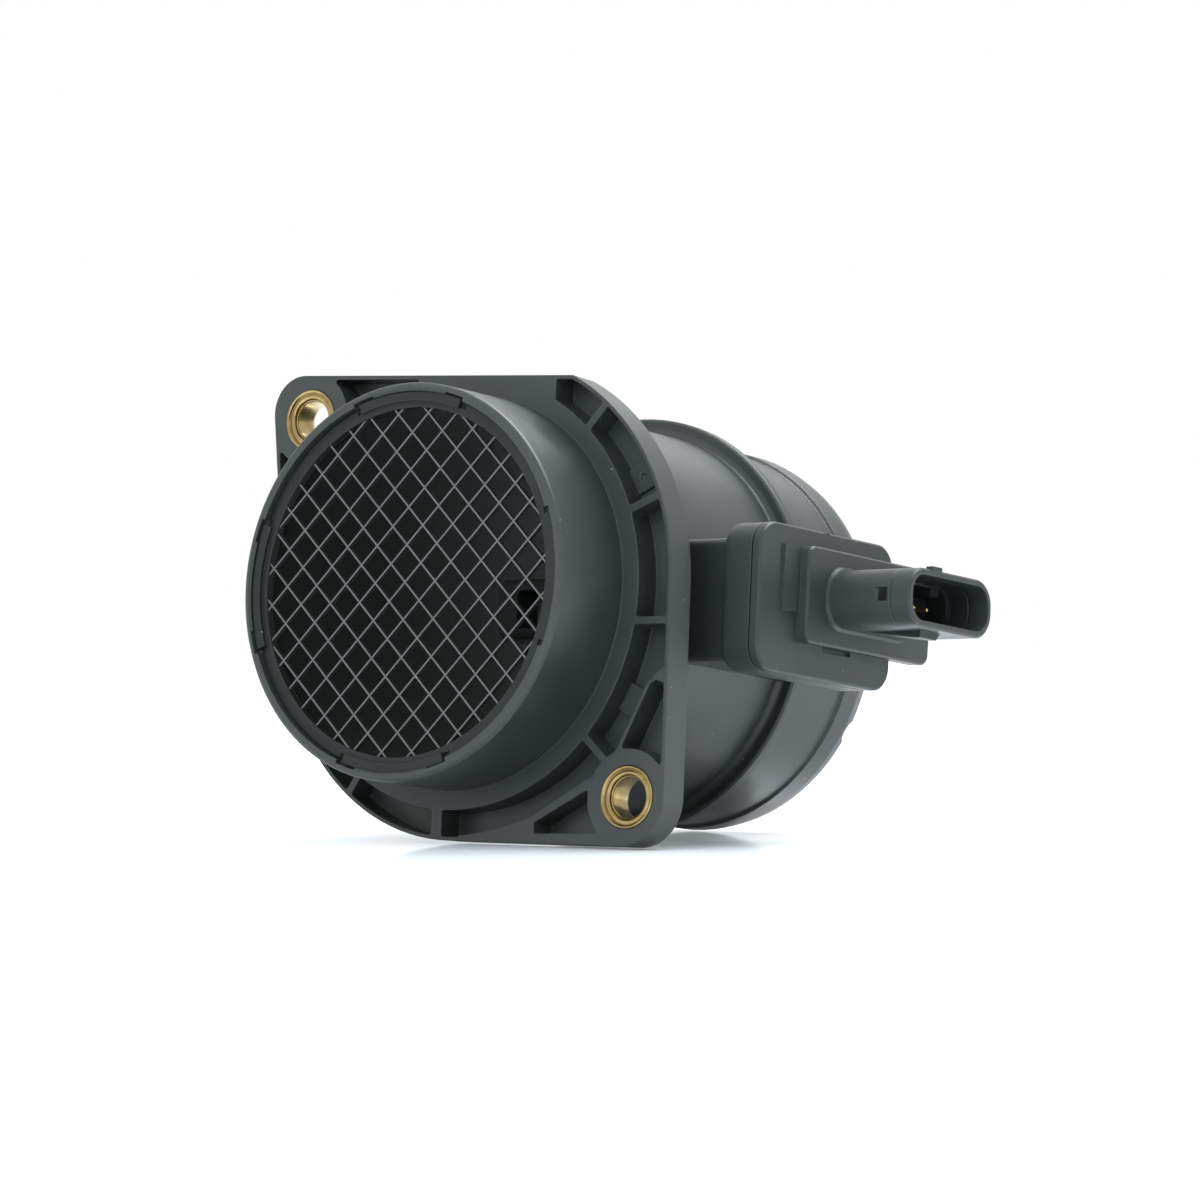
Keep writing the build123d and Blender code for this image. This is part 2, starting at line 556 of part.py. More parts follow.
def shroud():
    """Oval plug socket with a stepped mouth, key rib, latch ramp and inspection window."""
    y_range = (SHROUD_START, SHROUD_STOP)
    z_range = (SHROUD_Z - SHROUD_HALF_H, SHROUD_Z + SHROUD_HALF_H)
    body = plate_yz(BASE_FACE - 1, SHROUD_END, y_range, z_range, SHROUD_CORNER_R)
    body = chamfer(body.faces().sort_by(Axis.X)[-1].edges(), EDGE_BREAK)
    foot = plate_yz(BASE_FACE - 1, BASE_FACE + FOOT_T, grown(y_range, FOOT_W), grown(z_range, FOOT_W),
                    SHROUD_CORNER_R + FOOT_W)
    body += chamfer(foot.faces().sort_by(Axis.X)[-1].edges(), FOOT_T * 0.8)
    ramp = make_face(Polyline((LATCH_START, z_range[0] + 1), (LATCH_START, z_range[0]),
                              (LATCH_END - LATCH_H, z_range[0] - LATCH_H), (LATCH_END, z_range[0] - LATCH_H),
                              (LATCH_END, z_range[0] + 1), close=True))
    latch = Pos(0, LATCH_Y[1], 0) * extrude(Plane.XZ * ramp, amount=LATCH_Y[1] - LATCH_Y[0])
    low_edge = latch.edges().filter_by(Axis.X).group_by(Axis.Z)[0].sort_by(Axis.Y)[-1]
    body += chamfer(low_edge, LATCH_SLANT)
    body += block((SHROUD_END - KEY_LENGTH, SHROUD_END), KEY_Y, (z_range[1] - 1, z_range[1] + KEY_H))
    return body


def grown(span, by):
    return (span[0] - by, span[1] + by)


def socket_space():
    """Room inside the shroud, narrower below the step, with a coding rib left standing."""
    y_range = grown((SHROUD_START, SHROUD_STOP), -SHROUD_WALL)
    z_range = grown((SHROUD_Z - SHROUD_HALF_H, SHROUD_Z + SHROUD_HALF_H), -SHROUD_WALL)
    space = plate_yz(SOCKET_STEP, SHROUD_END + 1, y_range, z_range, SHROUD_CORNER_R - SHROUD_WALL)
    space += plate_yz(SOCKET_FLOOR, SHROUD_END, grown(y_range, -SOCKET_STEP_IN), grown(z_range, -SOCKET_STEP_IN / 2),
                      SHROUD_CORNER_R - SHROUD_WALL - SOCKET_STEP_IN / 2)
    space -= block((SOCKET_FLOOR - 1, CODE_END), CODE_Y, (z_range[1] - CODE_H, z_range[1] + 1))
    window = block(WINDOW_X, (SHROUD_START - 1, SHROUD_START + SHROUD_WALL + 1), WINDOW_Z)
    return space + window


def finger_spaces():
    """Electronics tray, bypass channel, cover rebates and the sensor openings of the finger."""
    top = HEAD_Z + BLADE_HALF_T
    rebate = top - COVER_T
    spaces = block(TRAY_X, TRAY_Y, (TRAY_FLOOR, top))
    spaces -= block((LEDGE_X, TRAY_X[1]), TRAY_Y, (TRAY_FLOOR, TERMINAL_Z - TERMINAL_T / 2))
    spaces += block(grown(TRAY_X, REBATE_LIP), grown(TRAY_Y, REBATE_LIP), (rebate, top + 1))
    bend_y = CHANNEL_BEND_Y
    path = Line((CHANNEL_LEGS[0], BLADE_START + REBATE_LIP * 2), (CHANNEL_LEGS[0], bend_y))
    path += ThreePointArc((CHANNEL_LEGS[0], bend_y),
                          ((CHANNEL_LEGS[0] + CHANNEL_LEGS[1]) / 2, bend_y + (CHANNEL_LEGS[1] - CHANNEL_LEGS[0]) / 2),
                          (CHANNEL_LEGS[1], bend_y))
    path += Line((CHANNEL_LEGS[1], bend_y), (CHANNEL_LEGS[1], CHANNEL_LOW))
    channel = extrude(trace(path, CHANNEL_W), amount=top - CHANNEL_FLOOR)
    spaces += Pos(0, 0, CHANNEL_FLOOR) * channel
    spaces += block(BYPASS_COVER_X, BYPASS_COVER_Y, (rebate, top + 1))
    leg = (CHANNEL_LEGS[0] - CHANNEL_W / 2, CHANNEL_LEGS[0] + CHANNEL_W / 2)
    spaces += block(leg, (BLADE_START - 1, BLADE_START + REBATE_LIP * 3), (CHANNEL_FLOOR, rebate - 1))
    back_leg = (CHANNEL_LEGS[1] - CHANNEL_W / 2, CHANNEL_LEGS[1] + CHANNEL_W / 2)
    spaces += block(back_leg, (CHANNEL_LOW, CHANNEL_LOW + OUTLET_L), (-10, 0))
    tongue_low = TRAY_FLOOR + HEAT_PLATE_T
    spaces += block((back_leg[0], TRAY_X[0] + 1), TONGUE_Y, (tongue_low, tongue_low + TONGUE_T + 4 * STACK_GAP))
    return spaces


def sensor_carrier():
    """Head and measuring finger, one moulding."""
    plate_y = (PAD_START - PLATE_LAP, PAD_END + PLATE_LAP)
    plate = head_block(PAD_FACE + SEAM, PLATE_FACE, plate_y, PAD_HALF_H, PAD_CORNER_R)
    carrier = chamfer(plate.faces().sort_by(Axis.X)[-1].edges(), EDGE_BREAK)
    top = HEAD_Z + PAD_HALF_H
    carrier -= block((PLATE_FACE - TOP_NOTCH_DEPTH, PLATE_FACE + 1), TOP_NOTCH_Y, (top - TOP_NOTCH_H, top + 1))
    carrier += block((PLATE_FACE - 1, PLATE_FACE + RAISED_T), RAISED_Y, RAISED_Z)
    base = plate_yz(PLATE_FACE - 0.5, BASE_FACE, (BASE_START, BASE_END), (BASE_BOTTOM, BASE_TOP), BASE_CORNER_R)
    carrier += chamfer(base.faces().sort_by(Axis.X)[-1].edges(), EDGE_BREAK)
    carrier += shroud()
    carrier += head_block(PAD_FACE, PLATE_FACE, (ROOT_START - SEAT_LAND, ROOT_END + SEAT_LAND),
                          ROOT_HALF_H + SEAT_LAND, ROOT_CORNER_R)
    root = head_block(BLADE_ROOT, PAD_FACE, (ROOT_START, ROOT_END), ROOT_HALF_H, ROOT_CORNER_R - ROOT_FIT)
    groove = head_block(SEAL_X - SEAL_R * 1.1, SEAL_X + SEAL_R * 1.1, (0, 80), 30, 1)
    groove -= head_block(SEAL_X - 3, SEAL_X + 3, (ROOT_START + SEAL_SEAT, ROOT_END - SEAL_SEAT),
                         ROOT_HALF_H - SEAL_SEAT, ROOT_CORNER_R - ROOT_FIT)
    carrier += root - groove
    carrier += head_block(BLADE_TIP, BLADE_ROOT, (BLADE_START, BLADE_END), BLADE_HALF_T, BLADE_CORNER_R - ROOT_FIT)
    carrier -= socket_space()
    carrier -= finger_spaces()
    carrier -= block(UNDER_SLOT_X, UNDER_SLOT_Y, UNDER_SLOT_Z)
    for index in range(5):
        carrier -= terminal(index)
    for y in LEAD_Y:
        carrier -= Pos(LEAD_X, y, HEAD_Z - BLADE_HALF_T) * Cylinder(LEAD_R + LEAD_FIT, 2 * LEAD_IN)
    return carrier


def carrier_seal():
    """Rubber ring round the finger root, in its groove."""
    sink = SEAL_R - ROOT_FIT + SEAL_CLEAR
    path = Plane.YZ.offset(SEAL_X) * Pos((ROOT_START + ROOT_END) / 2, HEAD_Z) * RectangleRounded(
        ROOT_END - ROOT_START - 2 * sink, 2 * ROOT_HALF_H - 2 * sink, ROOT_CORNER_R - sink)
    wire = path.faces()[0].outer_wire()
    start = wire.edges()[0]
    section = Plane(origin=start @ 0.5, z_dir=start % 0.5) * Circle(SEAL_R)
    return sweep(section, path=wire)


def heat_plate():
    return block(HEAT_PLATE_X, grown(TRAY_Y, -COVER_FIT), (TRAY_FLOOR, TRAY_FLOOR + HEAT_PLATE_T))


def board_top():
    return TRAY_FLOOR + HEAT_PLATE_T + BOARD_T + 2 * STACK_GAP


def hybrid_board():
    low = TRAY_FLOOR + HEAT_PLATE_T + STACK_GAP
    return block(BOARD_X, BOARD_Y, (low, low + BOARD_T))


def on_board(place, size, middle_y, height):
    """Part soldered on the board, its near end at a distance from the inner end of the board."""
    low = board_top()
    start = BOARD_X[0] + place
    return block((start, start + size[0]), (middle_y - size[1] / 2, middle_y + size[1] / 2), (low, low + height))


def evaluation_chip():
    return on_board(CHIP_PLACE, CHIP_SIZE, sum(BOARD_Y) / 2, CHIP_PART_H)


def capacitor(side):
    edge = CAPACITOR_EDGE + CAPACITOR_SIZE[1] / 2
    middle_y = BOARD_Y[0] + edge if side < 0 else BOARD_Y[1] - edge
    return on_board(CAPACITOR_PLACE, CAPACITOR_SIZE, middle_y, CAPACITOR_H)


def chip_tongue():
    """Metal strip from the heat plate into the bypass channel."""
    low = TRAY_FLOOR + HEAT_PLATE_T + STACK_GAP
    return block((CHANNEL_LEGS[1] - 1.6, BOARD_X[0] - 0.3), grown(TONGUE_Y, -0.2), (low, low + TONGUE_T))


def sensor_chip():
    low = TRAY_FLOOR + HEAT_PLATE_T + 2 * STACK_GAP + TONGUE_T
    chip = block((CHANNEL_LEGS[1] - 1.2, CHANNEL_LEGS[1] + 2.0), grown(TONGUE_Y, -0.6), (low, low + CHIP_T))
    membrane = block((CHANNEL_LEGS[1] - 0.6, CHANNEL_LEGS[1] + 0.8), grown(TONGUE_Y, -0.95),
                     (low + CHIP_T * 0.7, low + 1))
    return chip - membrane


def cover(x_range, y_range):
    top = HEAD_Z + BLADE_HALF_T
    lid = block(grown(x_range, -COVER_FIT), grown(y_range, -COVER_FIT), (top - COVER_T, top))
    return chamfer(lid.faces().sort_by(Axis.Z)[-1].edges(), EDGE_BREAK / 2)


def hybrid_cover():
    """Lid of the electronics tray with a shallow stiffening recess."""
    lid = cover(grown(TRAY_X, REBATE_LIP), grown(TRAY_Y, REBATE_LIP))
    top = HEAD_Z + BLADE_HALF_T
    return lid - block(grown(TRAY_X, -2 * REBATE_LIP), grown(TRAY_Y, -2 * REBATE_LIP), (top - COVER_T / 3, top + 1))


def bypass_cover():
    return cover(BYPASS_COVER_X, BYPASS_COVER_Y)


def ntc_bead():
    """Glass bead of the intake-air sensor, its axis along the flow."""
    bead = Rot(90, 0, 0) * Cylinder(NTC_R, NTC_L)
    bead = fillet(bead.edges().filter_by(GeomType.CIRCLE), NTC_ROUND)
    return Pos(LEAD_X, sum(LEAD_Y) / 2, HEAD_Z - BLADE_HALF_T - NTC_OUT) * bead


def ntc_lead(side):
    """Bent wire from the blade to one end of the bead."""
    face = HEAD_Z - BLADE_HALF_T
    middle = sum(LEAD_Y) / 2
    start_y = LEAD_Y[0] if side < 0 else LEAD_Y[1]
    corner = (LEAD_X, start_y, face - NTC_OUT)
    path = Polyline((LEAD_X, start_y, face + LEAD_IN), corner, (LEAD_X, middle + side * NTC_L / 2, corner[2]))
    path = fillet(path.vertices().sort_by_distance(corner)[0], LEAD_BEND_R)
    return sweep(Plane(origin=path @ 0, z_dir=path % 0) * Circle(LEAD_R), path=path)


PARTS = {
    "duct_housing": duct_housing,
    "inlet_grid": inlet_grid,
    "upper_bush": lambda: bush(upper_bolt()),
    "lower_bush": lambda: bush(lower_bolt()),
    "sensor_carrier": sensor_carrier,
    "carrier_seal": carrier_seal,
    "heat_plate": heat_plate,
    "hybrid_board": hybrid_board,
    "evaluation_chip": evaluation_chip,
    "capacitor_a": lambda: capacitor(-1),
    "capacitor_b": lambda: capacitor(1),
    "chip_tongue": chip_tongue,
    "sensor_chip": sensor_chip,
    "hybrid_cover": hybrid_cover,
    "bypass_cover": bypass_cover,
    "terminal_1": lambda: terminal(0),
    "terminal_2": lambda: terminal(1),
    "terminal_3": lambda: terminal(2),
    "terminal_4": lambda: terminal(3),
    "terminal_5": lambda: terminal(4),
    "ntc_bead": ntc_bead,
    "ntc_lead_a": lambda: ntc_lead(-1),
    "ntc_lead_b": lambda: ntc_lead(1),
}

for name, make in PARTS.items():
    export_step(make(), f"parts/{name}.step")
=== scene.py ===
from math import cos, pi, radians, sin, tan

import bmesh
import bpy
from mathutils import Matrix, Vector


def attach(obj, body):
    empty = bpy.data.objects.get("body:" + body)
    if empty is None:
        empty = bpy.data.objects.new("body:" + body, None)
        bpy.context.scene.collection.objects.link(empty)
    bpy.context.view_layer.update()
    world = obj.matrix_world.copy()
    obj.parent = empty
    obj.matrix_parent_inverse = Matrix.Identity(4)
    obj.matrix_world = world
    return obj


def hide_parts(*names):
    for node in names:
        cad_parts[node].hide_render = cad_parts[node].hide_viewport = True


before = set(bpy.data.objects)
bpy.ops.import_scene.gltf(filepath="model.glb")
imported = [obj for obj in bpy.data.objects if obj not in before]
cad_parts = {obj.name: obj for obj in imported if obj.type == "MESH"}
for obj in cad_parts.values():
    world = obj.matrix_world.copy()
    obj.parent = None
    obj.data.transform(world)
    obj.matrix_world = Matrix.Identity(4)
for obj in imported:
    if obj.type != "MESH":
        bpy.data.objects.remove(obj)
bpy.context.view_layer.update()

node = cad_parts

# ---------------------------------------------------------------- duct housing
# The measuring duct: flange, both hose ends and the pad for the sensor head in one
# injection moulding of glass-filled nylon. It leaves the mould satin black, with a
# very fine grain, faint flow marks and rounded edges that rub a little paler.
MM = 0.001
MM_IN_METRE = 1000
GRAIN_SHARE = 0.35            # of the grain in the colour, beside the flow marks
GRAIN_STRENGTH, GRAIN_HEIGHT = 0.6, 0.03
EDGE_BEGINS, EDGE_FULL = 0.995, 0.90      # how alike the true and the rounded normal are
DUST_PATCHES, CLEAN_SHARE = 90, 0.52      # scale of the dusty patches, and what stays clean
BORE_R, BORE_FRONT = 31.9, -15.0          # what stands within these is painted dark, as shade inside the duct
# painted shade: the colour of what stands inside the duct, where light hardly reaches
PAINTED_DUCT_SHADE = (0.008, 0.0095, 0.009)
PARTING_WIDTH, PARTING_DEPTH = 0.5, 0.12  # groove that a mould's parting line leaves
FLOAT, COLOR = "NodeSocketFloat", "NodeSocketColor"


def add_nodes(tree, kind, **settings):
    made = tree.nodes.new(kind)
    for name, value in settings.items():
        setattr(made, name, value)
    return made


def new_group(name, inputs, outputs):
    """Empty shader group with float or colour sockets: (name, kind, default)."""
    group = bpy.data.node_groups.new(name, "ShaderNodeTree")
    for label, kind, default in inputs:
        socket = group.interface.new_socket(name=label, in_out="INPUT", socket_type=kind)
        socket.default_value = default
    for label, kind in outputs:
        group.interface.new_socket(name=label, in_out="OUTPUT", socket_type=kind)
    return group, group.nodes.new("NodeGroupInput"), group.nodes.new("NodeGroupOutput")


def moulded_grain_group():
    """Fine mould grain, slow flow mottling and the gloss that goes with them."""
    group, given, out = new_group(
        "moulded_grain",
        [("Grain Size", FLOAT, 0.25), ("Flow Size", FLOAT, 14.0),
         ("Dark", COLOR, (0.010, 0.011, 0.012, 1)), ("Light", COLOR, (0.020, 0.021, 0.023, 1)),
         ("Smooth", FLOAT, 0.34), ("Rough", FLOAT, 0.46)],
        [("Color", COLOR), ("Roughness", FLOAT), ("Height", FLOAT)])
    place = add_nodes(group, "ShaderNodeTexCoord")
    grain_scale = add_nodes(group, "ShaderNodeMath", operation="DIVIDE")
    grain_scale.inputs[0].default_value = MM_IN_METRE
    flow_scale = add_nodes(group, "ShaderNodeMath", operation="DIVIDE")
    flow_scale.inputs[0].default_value = MM_IN_METRE
    grain = add_nodes(group, "ShaderNodeTexNoise")
    grain.inputs["Detail"].default_value = 2
    flow = add_nodes(group, "ShaderNodeTexNoise")
    flow.inputs["Detail"].default_value = 4
    flow.inputs["Distortion"].default_value = 0.6
    blend = add_nodes(group, "ShaderNodeMath", operation="MULTIPLY_ADD", use_clamp=True)
    blend.inputs[1].default_value = GRAIN_SHARE
    tint = add_nodes(group, "ShaderNodeMix", data_type="RGBA")
    gloss = add_nodes(group, "ShaderNodeMapRange")
    gloss.inputs["From Min"].default_value = 0.3
    gloss.inputs["From Max"].default_value = 0.7
    link = group.links.new
    link(given.outputs["Grain Size"], grain_scale.inputs[1])
    link(given.outputs["Flow Size"], flow_scale.inputs[1])
    link(place.outputs["Object"], grain.inputs["Vector"])
    link(place.outputs["Object"], flow.inputs["Vector"])
    link(grain_scale.outputs[0], grain.inputs["Scale"])
    link(flow_scale.outputs[0], flow.inputs["Scale"])
    link(grain.outputs["Fac"], blend.inputs[0])
    link(flow.outputs["Fac"], blend.inputs[2])
    link(blend.outputs[0], tint.inputs["Factor"])
    link(given.outputs["Dark"], tint.inputs["A"])
    link(given.outputs["Light"], tint.inputs["B"])
    link(flow.outputs["Fac"], gloss.inputs["Value"])
    link(given.outputs["Smooth"], gloss.inputs["To Min"])
    link(given.outputs["Rough"], gloss.inputs["To Max"])
    link(tint.outputs["Result"], out.inputs["Color"])
    link(gloss.outputs["Result"], out.inputs["Roughness"])
    link(grain.outputs["Fac"], out.inputs["Height"])
    return group


def edge_and_dust_group():
    """Paler rubbed edges and sparse dust specks laid over a base colour."""
    group, given, out = new_group(
        "edge_and_dust",
        [("Color", COLOR, (0.02, 0.02, 0.02, 1)), ("Edge Color", COLOR, (0.06, 0.062, 0.065, 1)),
         ("Edge Width", FLOAT, 0.35), ("Edge Strength", FLOAT, 0.6),
         ("Dust Color", COLOR, (0.35, 0.34, 0.32, 1)), ("Dust Spacing", FLOAT, 3.4),
         ("Dust Size", FLOAT, 0.035)],
        [("Color", COLOR)])
    link = group.links.new
    shape = add_nodes(group, "ShaderNodeNewGeometry")
    width = add_nodes(group, "ShaderNodeMath", operation="MULTIPLY")
    width.inputs[1].default_value = MM
    rounded = add_nodes(group, "ShaderNodeBevel", samples=4)
    alike = add_nodes(group, "ShaderNodeVectorMath", operation="DOT_PRODUCT")
    edge = add_nodes(group, "ShaderNodeMapRange")
    edge.inputs["From Min"].default_value = EDGE_BEGINS
    edge.inputs["From Max"].default_value = EDGE_FULL
    edge_amount = add_nodes(group, "ShaderNodeMath", operation="MULTIPLY", use_clamp=True)
    edged = add_nodes(group, "ShaderNodeMix", data_type="RGBA")
    place = add_nodes(group, "ShaderNodeTexCoord")
    dust_scale = add_nodes(group, "ShaderNodeMath", operation="DIVIDE")
    dust_scale.inputs[0].default_value = MM_IN_METRE
    cells = add_nodes(group, "ShaderNodeTexVoronoi")
    speck = add_nodes(group, "ShaderNodeMath", operation="LESS_THAN")
    keep = add_nodes(group, "ShaderNodeTexNoise")
    keep.inputs["Scale"].default_value = DUST_PATCHES
    kept = add_nodes(group, "ShaderNodeMath", operation="GREATER_THAN")
    kept.inputs[1].default_value = CLEAN_SHARE
    dust = add_nodes(group, "ShaderNodeMath", operation="MULTIPLY")
    dusted = add_nodes(group, "ShaderNodeMix", data_type="RGBA")
    link(given.outputs["Edge Width"], width.inputs[0])
    link(width.outputs[0], rounded.inputs["Radius"])
    link(rounded.outputs["Normal"], alike.inputs[0])
    link(shape.outputs["Normal"], alike.inputs[1])
    link(alike.outputs["Value"], edge.inputs["Value"])
    link(edge.outputs["Result"], edge_amount.inputs[0])
    link(given.outputs["Edge Strength"], edge_amount.inputs[1])
    link(edge_amount.outputs[0], edged.inputs["Factor"])
    link(given.outputs["Color"], edged.inputs["A"])
    link(given.outputs["Edge Color"], edged.inputs["B"])
    link(given.outputs["Dust Spacing"], dust_scale.inputs[1])
    link(place.outputs["Object"], cells.inputs["Vector"])
    link(dust_scale.outputs[0], cells.inputs["Scale"])
    link(cells.outputs["Distance"], speck.inputs[0])
    link(given.outputs["Dust Size"], speck.inputs[1])
    link(place.outputs["Object"], keep.inputs["Vector"])
    link(keep.outputs["Fac"], kept.inputs[0])
    link(speck.outputs[0], dust.inputs[0])
    link(kept.outputs[0], dust.inputs[1])
    link(dust.outputs[0], dusted.inputs["Factor"])
    link(edged.outputs["Result"], dusted.inputs["A"])
    link(given.outputs["Dust Color"], dusted.inputs["B"])
    link(dusted.outputs["Result"], out.inputs["Color"])
    return group


def duct_shade_group():
    """Painted shade: a dark colour, with a duller gloss, on whatever stands inside the bore and behind its
    front.
    """
    group, given, out = new_group(
        "duct_shade",
        [("Color", COLOR, (0.02, 0.02, 0.02, 1)), ("Roughness", FLOAT, 0.4),
         ("Painted Shade Color", COLOR, (*PAINTED_DUCT_SHADE, 1)), ("Inside Roughness", FLOAT, 0.9),
         ("Bore Radius", FLOAT, BORE_R), ("Front", FLOAT, BORE_FRONT)],
        [("Color", COLOR), ("Roughness", FLOAT)])
    link = group.links.new
    place = add_nodes(group, "ShaderNodeTexCoord")
    flat = add_nodes(group, "ShaderNodeVectorMath", operation="MULTIPLY")
    flat.inputs[1].default_value = (MM_IN_METRE, 0, MM_IN_METRE)
    radius = add_nodes(group, "ShaderNodeVectorMath", operation="LENGTH")
    within = add_nodes(group, "ShaderNodeMath", operation="LESS_THAN")
    along = add_nodes(group, "ShaderNodeSeparateXYZ")
    depth = add_nodes(group, "ShaderNodeMath", operation="MULTIPLY")
    depth.inputs[1].default_value = MM_IN_METRE
    behind = add_nodes(group, "ShaderNodeMath", operation="GREATER_THAN")
    inside = add_nodes(group, "ShaderNodeMath", operation="MULTIPLY")
    painted_shade_mix = add_nodes(group, "ShaderNodeMix", data_type="RGBA")
    dulled = add_nodes(group, "ShaderNodeMix", data_type="FLOAT")
    link(place.outputs["Object"], flat.inputs[0])
    link(flat.outputs["Vector"], radius.inputs[0])
    link(radius.outputs["Value"], within.inputs[0])
    link(given.outputs["Bore Radius"], within.inputs[1])
    link(place.outputs["Object"], along.inputs[0])
    link(along.outputs["Y"], depth.inputs[0])
    link(depth.outputs[0], behind.inputs[0])
    link(given.outputs["Front"], behind.inputs[1])
    link(within.outputs[0], inside.inputs[0])
    link(behind.outputs[0], inside.inputs[1])
    link(inside.outputs[0], painted_shade_mix.inputs["Factor"])
    link(given.outputs["Color"], painted_shade_mix.inputs["A"])
    link(given.outputs["Painted Shade Color"], painted_shade_mix.inputs["B"])
    link(inside.outputs[0], dulled.inputs["Factor"])
    link(given.outputs["Roughness"], dulled.inputs["A"])
    link(given.outputs["Inside Roughness"], dulled.inputs["B"])
    link(painted_shade_mix.outputs["Result"], out.inputs["Color"])
    link(dulled.outputs["Result"], out.inputs["Roughness"])
    return group


moulded_grain = moulded_grain_group()
edge_and_dust = edge_and_dust_group()
duct_shade = duct_shade_group()


def moulded_plastic(name, dark, light, smooth, rough, edge_width=0.4, edge_strength=0.25,
                    painted_shade_from=BORE_FRONT, painted_shade_color=PAINTED_DUCT_SHADE, specular=0.42, parting_x=None):
    """Black moulded plastic: grain, rubbed edges, dust, painted shade inside the duct and, if asked, a
    parting line.
    """
    material = bpy.data.materials.new(name)
    material.use_nodes = True
    tree = material.node_tree
    shader = tree.nodes["Principled BSDF"]
    shader.inputs["IOR"].default_value = 1.5
    shader.inputs["Specular IOR Level"].default_value = specular
    skin = add_nodes(tree, "ShaderNodeGroup", node_tree=moulded_grain)
    skin.inputs["Dark"].default_value = (*dark, 1)
    skin.inputs["Light"].default_value = (*light, 1)
    skin.inputs["Smooth"].default_value = smooth
    skin.inputs["Rough"].default_value = rough
    wear = add_nodes(tree, "ShaderNodeGroup", node_tree=edge_and_dust)
    wear.inputs["Edge Width"].default_value = edge_width
    wear.inputs["Edge Strength"].default_value = edge_strength
    # Painted shade: darker colour and duller gloss inside the bore, behind the given front.
    painted_shade_node = add_nodes(tree, "ShaderNodeGroup", node_tree=duct_shade)
    painted_shade_node.inputs["Front"].default_value = painted_shade_from
    painted_shade_node.inputs["Painted Shade Color"].default_value = (*painted_shade_color, 1)
    rounded = add_nodes(tree, "ShaderNodeBevel", samples=4)
    rounded.inputs["Radius"].default_value = edge_width * MM
    bump = add_nodes(tree, "ShaderNodeBump")
    bump.inputs["Strength"].default_value = GRAIN_STRENGTH
    bump.inputs["Distance"].default_value = GRAIN_HEIGHT * MM
    link = tree.links.new
    link(skin.outputs["Color"], wear.inputs["Color"])
    link(wear.outputs["Color"], painted_shade_node.inputs["Color"])
    link(skin.outputs["Roughness"], painted_shade_node.inputs["Roughness"])
    link(painted_shade_node.outputs["Color"], shader.inputs["Base Color"])
    link(painted_shade_node.outputs["Roughness"], shader.inputs["Roughness"])
    link(skin.outputs["Height"], bump.inputs["Height"])
    link(rounded.outputs["Normal"], bump.inputs["Normal"])
    if parting_x is not None:
        place = add_nodes(tree, "ShaderNodeTexCoord")
        apart = add_nodes(tree, "ShaderNodeSeparateXYZ")
        offset = add_nodes(tree, "ShaderNodeMath", operation="SUBTRACT")
        offset.inputs[1].default_value = parting_x * MM
        distance = add_nodes(tree, "ShaderNodeMath", operation="ABSOLUTE")
        groove = add_nodes(tree, "ShaderNodeMapRange", interpolation_type="SMOOTHSTEP")
        groove.inputs["From Max"].default_value = PARTING_WIDTH / 2 * MM
        seam = add_nodes(tree, "ShaderNodeBump")
        seam.inputs["Distance"].default_value = PARTING_DEPTH * MM
        link(place.outputs["Object"], apart.inputs[0])
        link(apart.outputs["X"], offset.inputs[0])
        link(offset.outputs[0], distance.inputs[0])
        link(distance.outputs[0], groove.inputs["Value"])
        link(groove.outputs["Result"], seam.inputs["Height"])
        link(rounded.outputs["Normal"], seam.inputs["Normal"])
        link(seam.outputs["Normal"], bump.inputs["Normal"])
    link(bump.outputs["Normal"], shader.inputs["Normal"])
    return material


def dress(cad_name, material):
    """Give a CAD node, whose shape is right, its finish."""
    slots = node[cad_name].data.materials
    slots.clear()
    slots.append(material)


# Inside the bore the housing takes the painted shade of the duct.
housing_black = moulded_plastic(
    "housing_black_nylon", dark=(0.0195, 0.0235, 0.0228), light=(0.031, 0.0362, 0.0355),
    smooth=0.31, rough=0.43)
dress("duct_housing", housing_black)

# ---------------------------------------------------------------- flange bushes
# Two turned brass compression limiters, pressed into the bolt corners so that the screws
# clamp metal and not plastic. The lip has an outer and an inner roll with a groove between
# them; fine lathe rings run round it, and painted shade darkens the groove and the mouth.
BUSH_PLACES = {"upper_bush": (-36.404, 32.599), "lower_bush": (37.997, -36.402)}
BUSH_PROFILE = [                  # (radius, y) from the front mouth round the outside
    (3.50, 0.98), (3.52, 0.80), (3.60, 0.66), (3.72, 0.60), (3.77, 0.60), (3.79, 0.46), (3.86, 0.28),
    (3.98, 0.13), (4.14, 0.04), (4.32, 0.01), (4.48, 0.04), (4.62, 0.11), (4.72, 0.16), (4.80, 0.15),
    (4.87, 0.06), (4.94, -0.09), (5.04, -0.22), (5.16, -0.29), (5.29, -0.30), (5.40, -0.24), (5.47, -0.12),
    (5.50, 0.04),
    (5.50, 0.58), (4.52, 0.60), (4.50, 0.70), (4.50, 6.20), (4.42, 6.30), (4.26, 6.30),
    (4.18, 6.26), (3.56, 5.20), (3.50, 5.05)]
BUSH_STEPS = 96
BRASS_DARK, BRASS_LIGHT = (0.30, 0.215, 0.085, 1), (0.44, 0.335, 0.150, 1)
BUSH_PAINTED_SHADE = [(3.64, 3.76, 3.88, 0.9), (4.60, 4.78, 4.95, 0.5)]     # painted shade: radii (begins, darkest, ends), strength
PAINTED_SHADE_BROWN = (0.075, 0.042, 0.014, 1)
PAINTED_SHADE_SPAN = 10                     # radius that the whole ramp of the painted shade covers


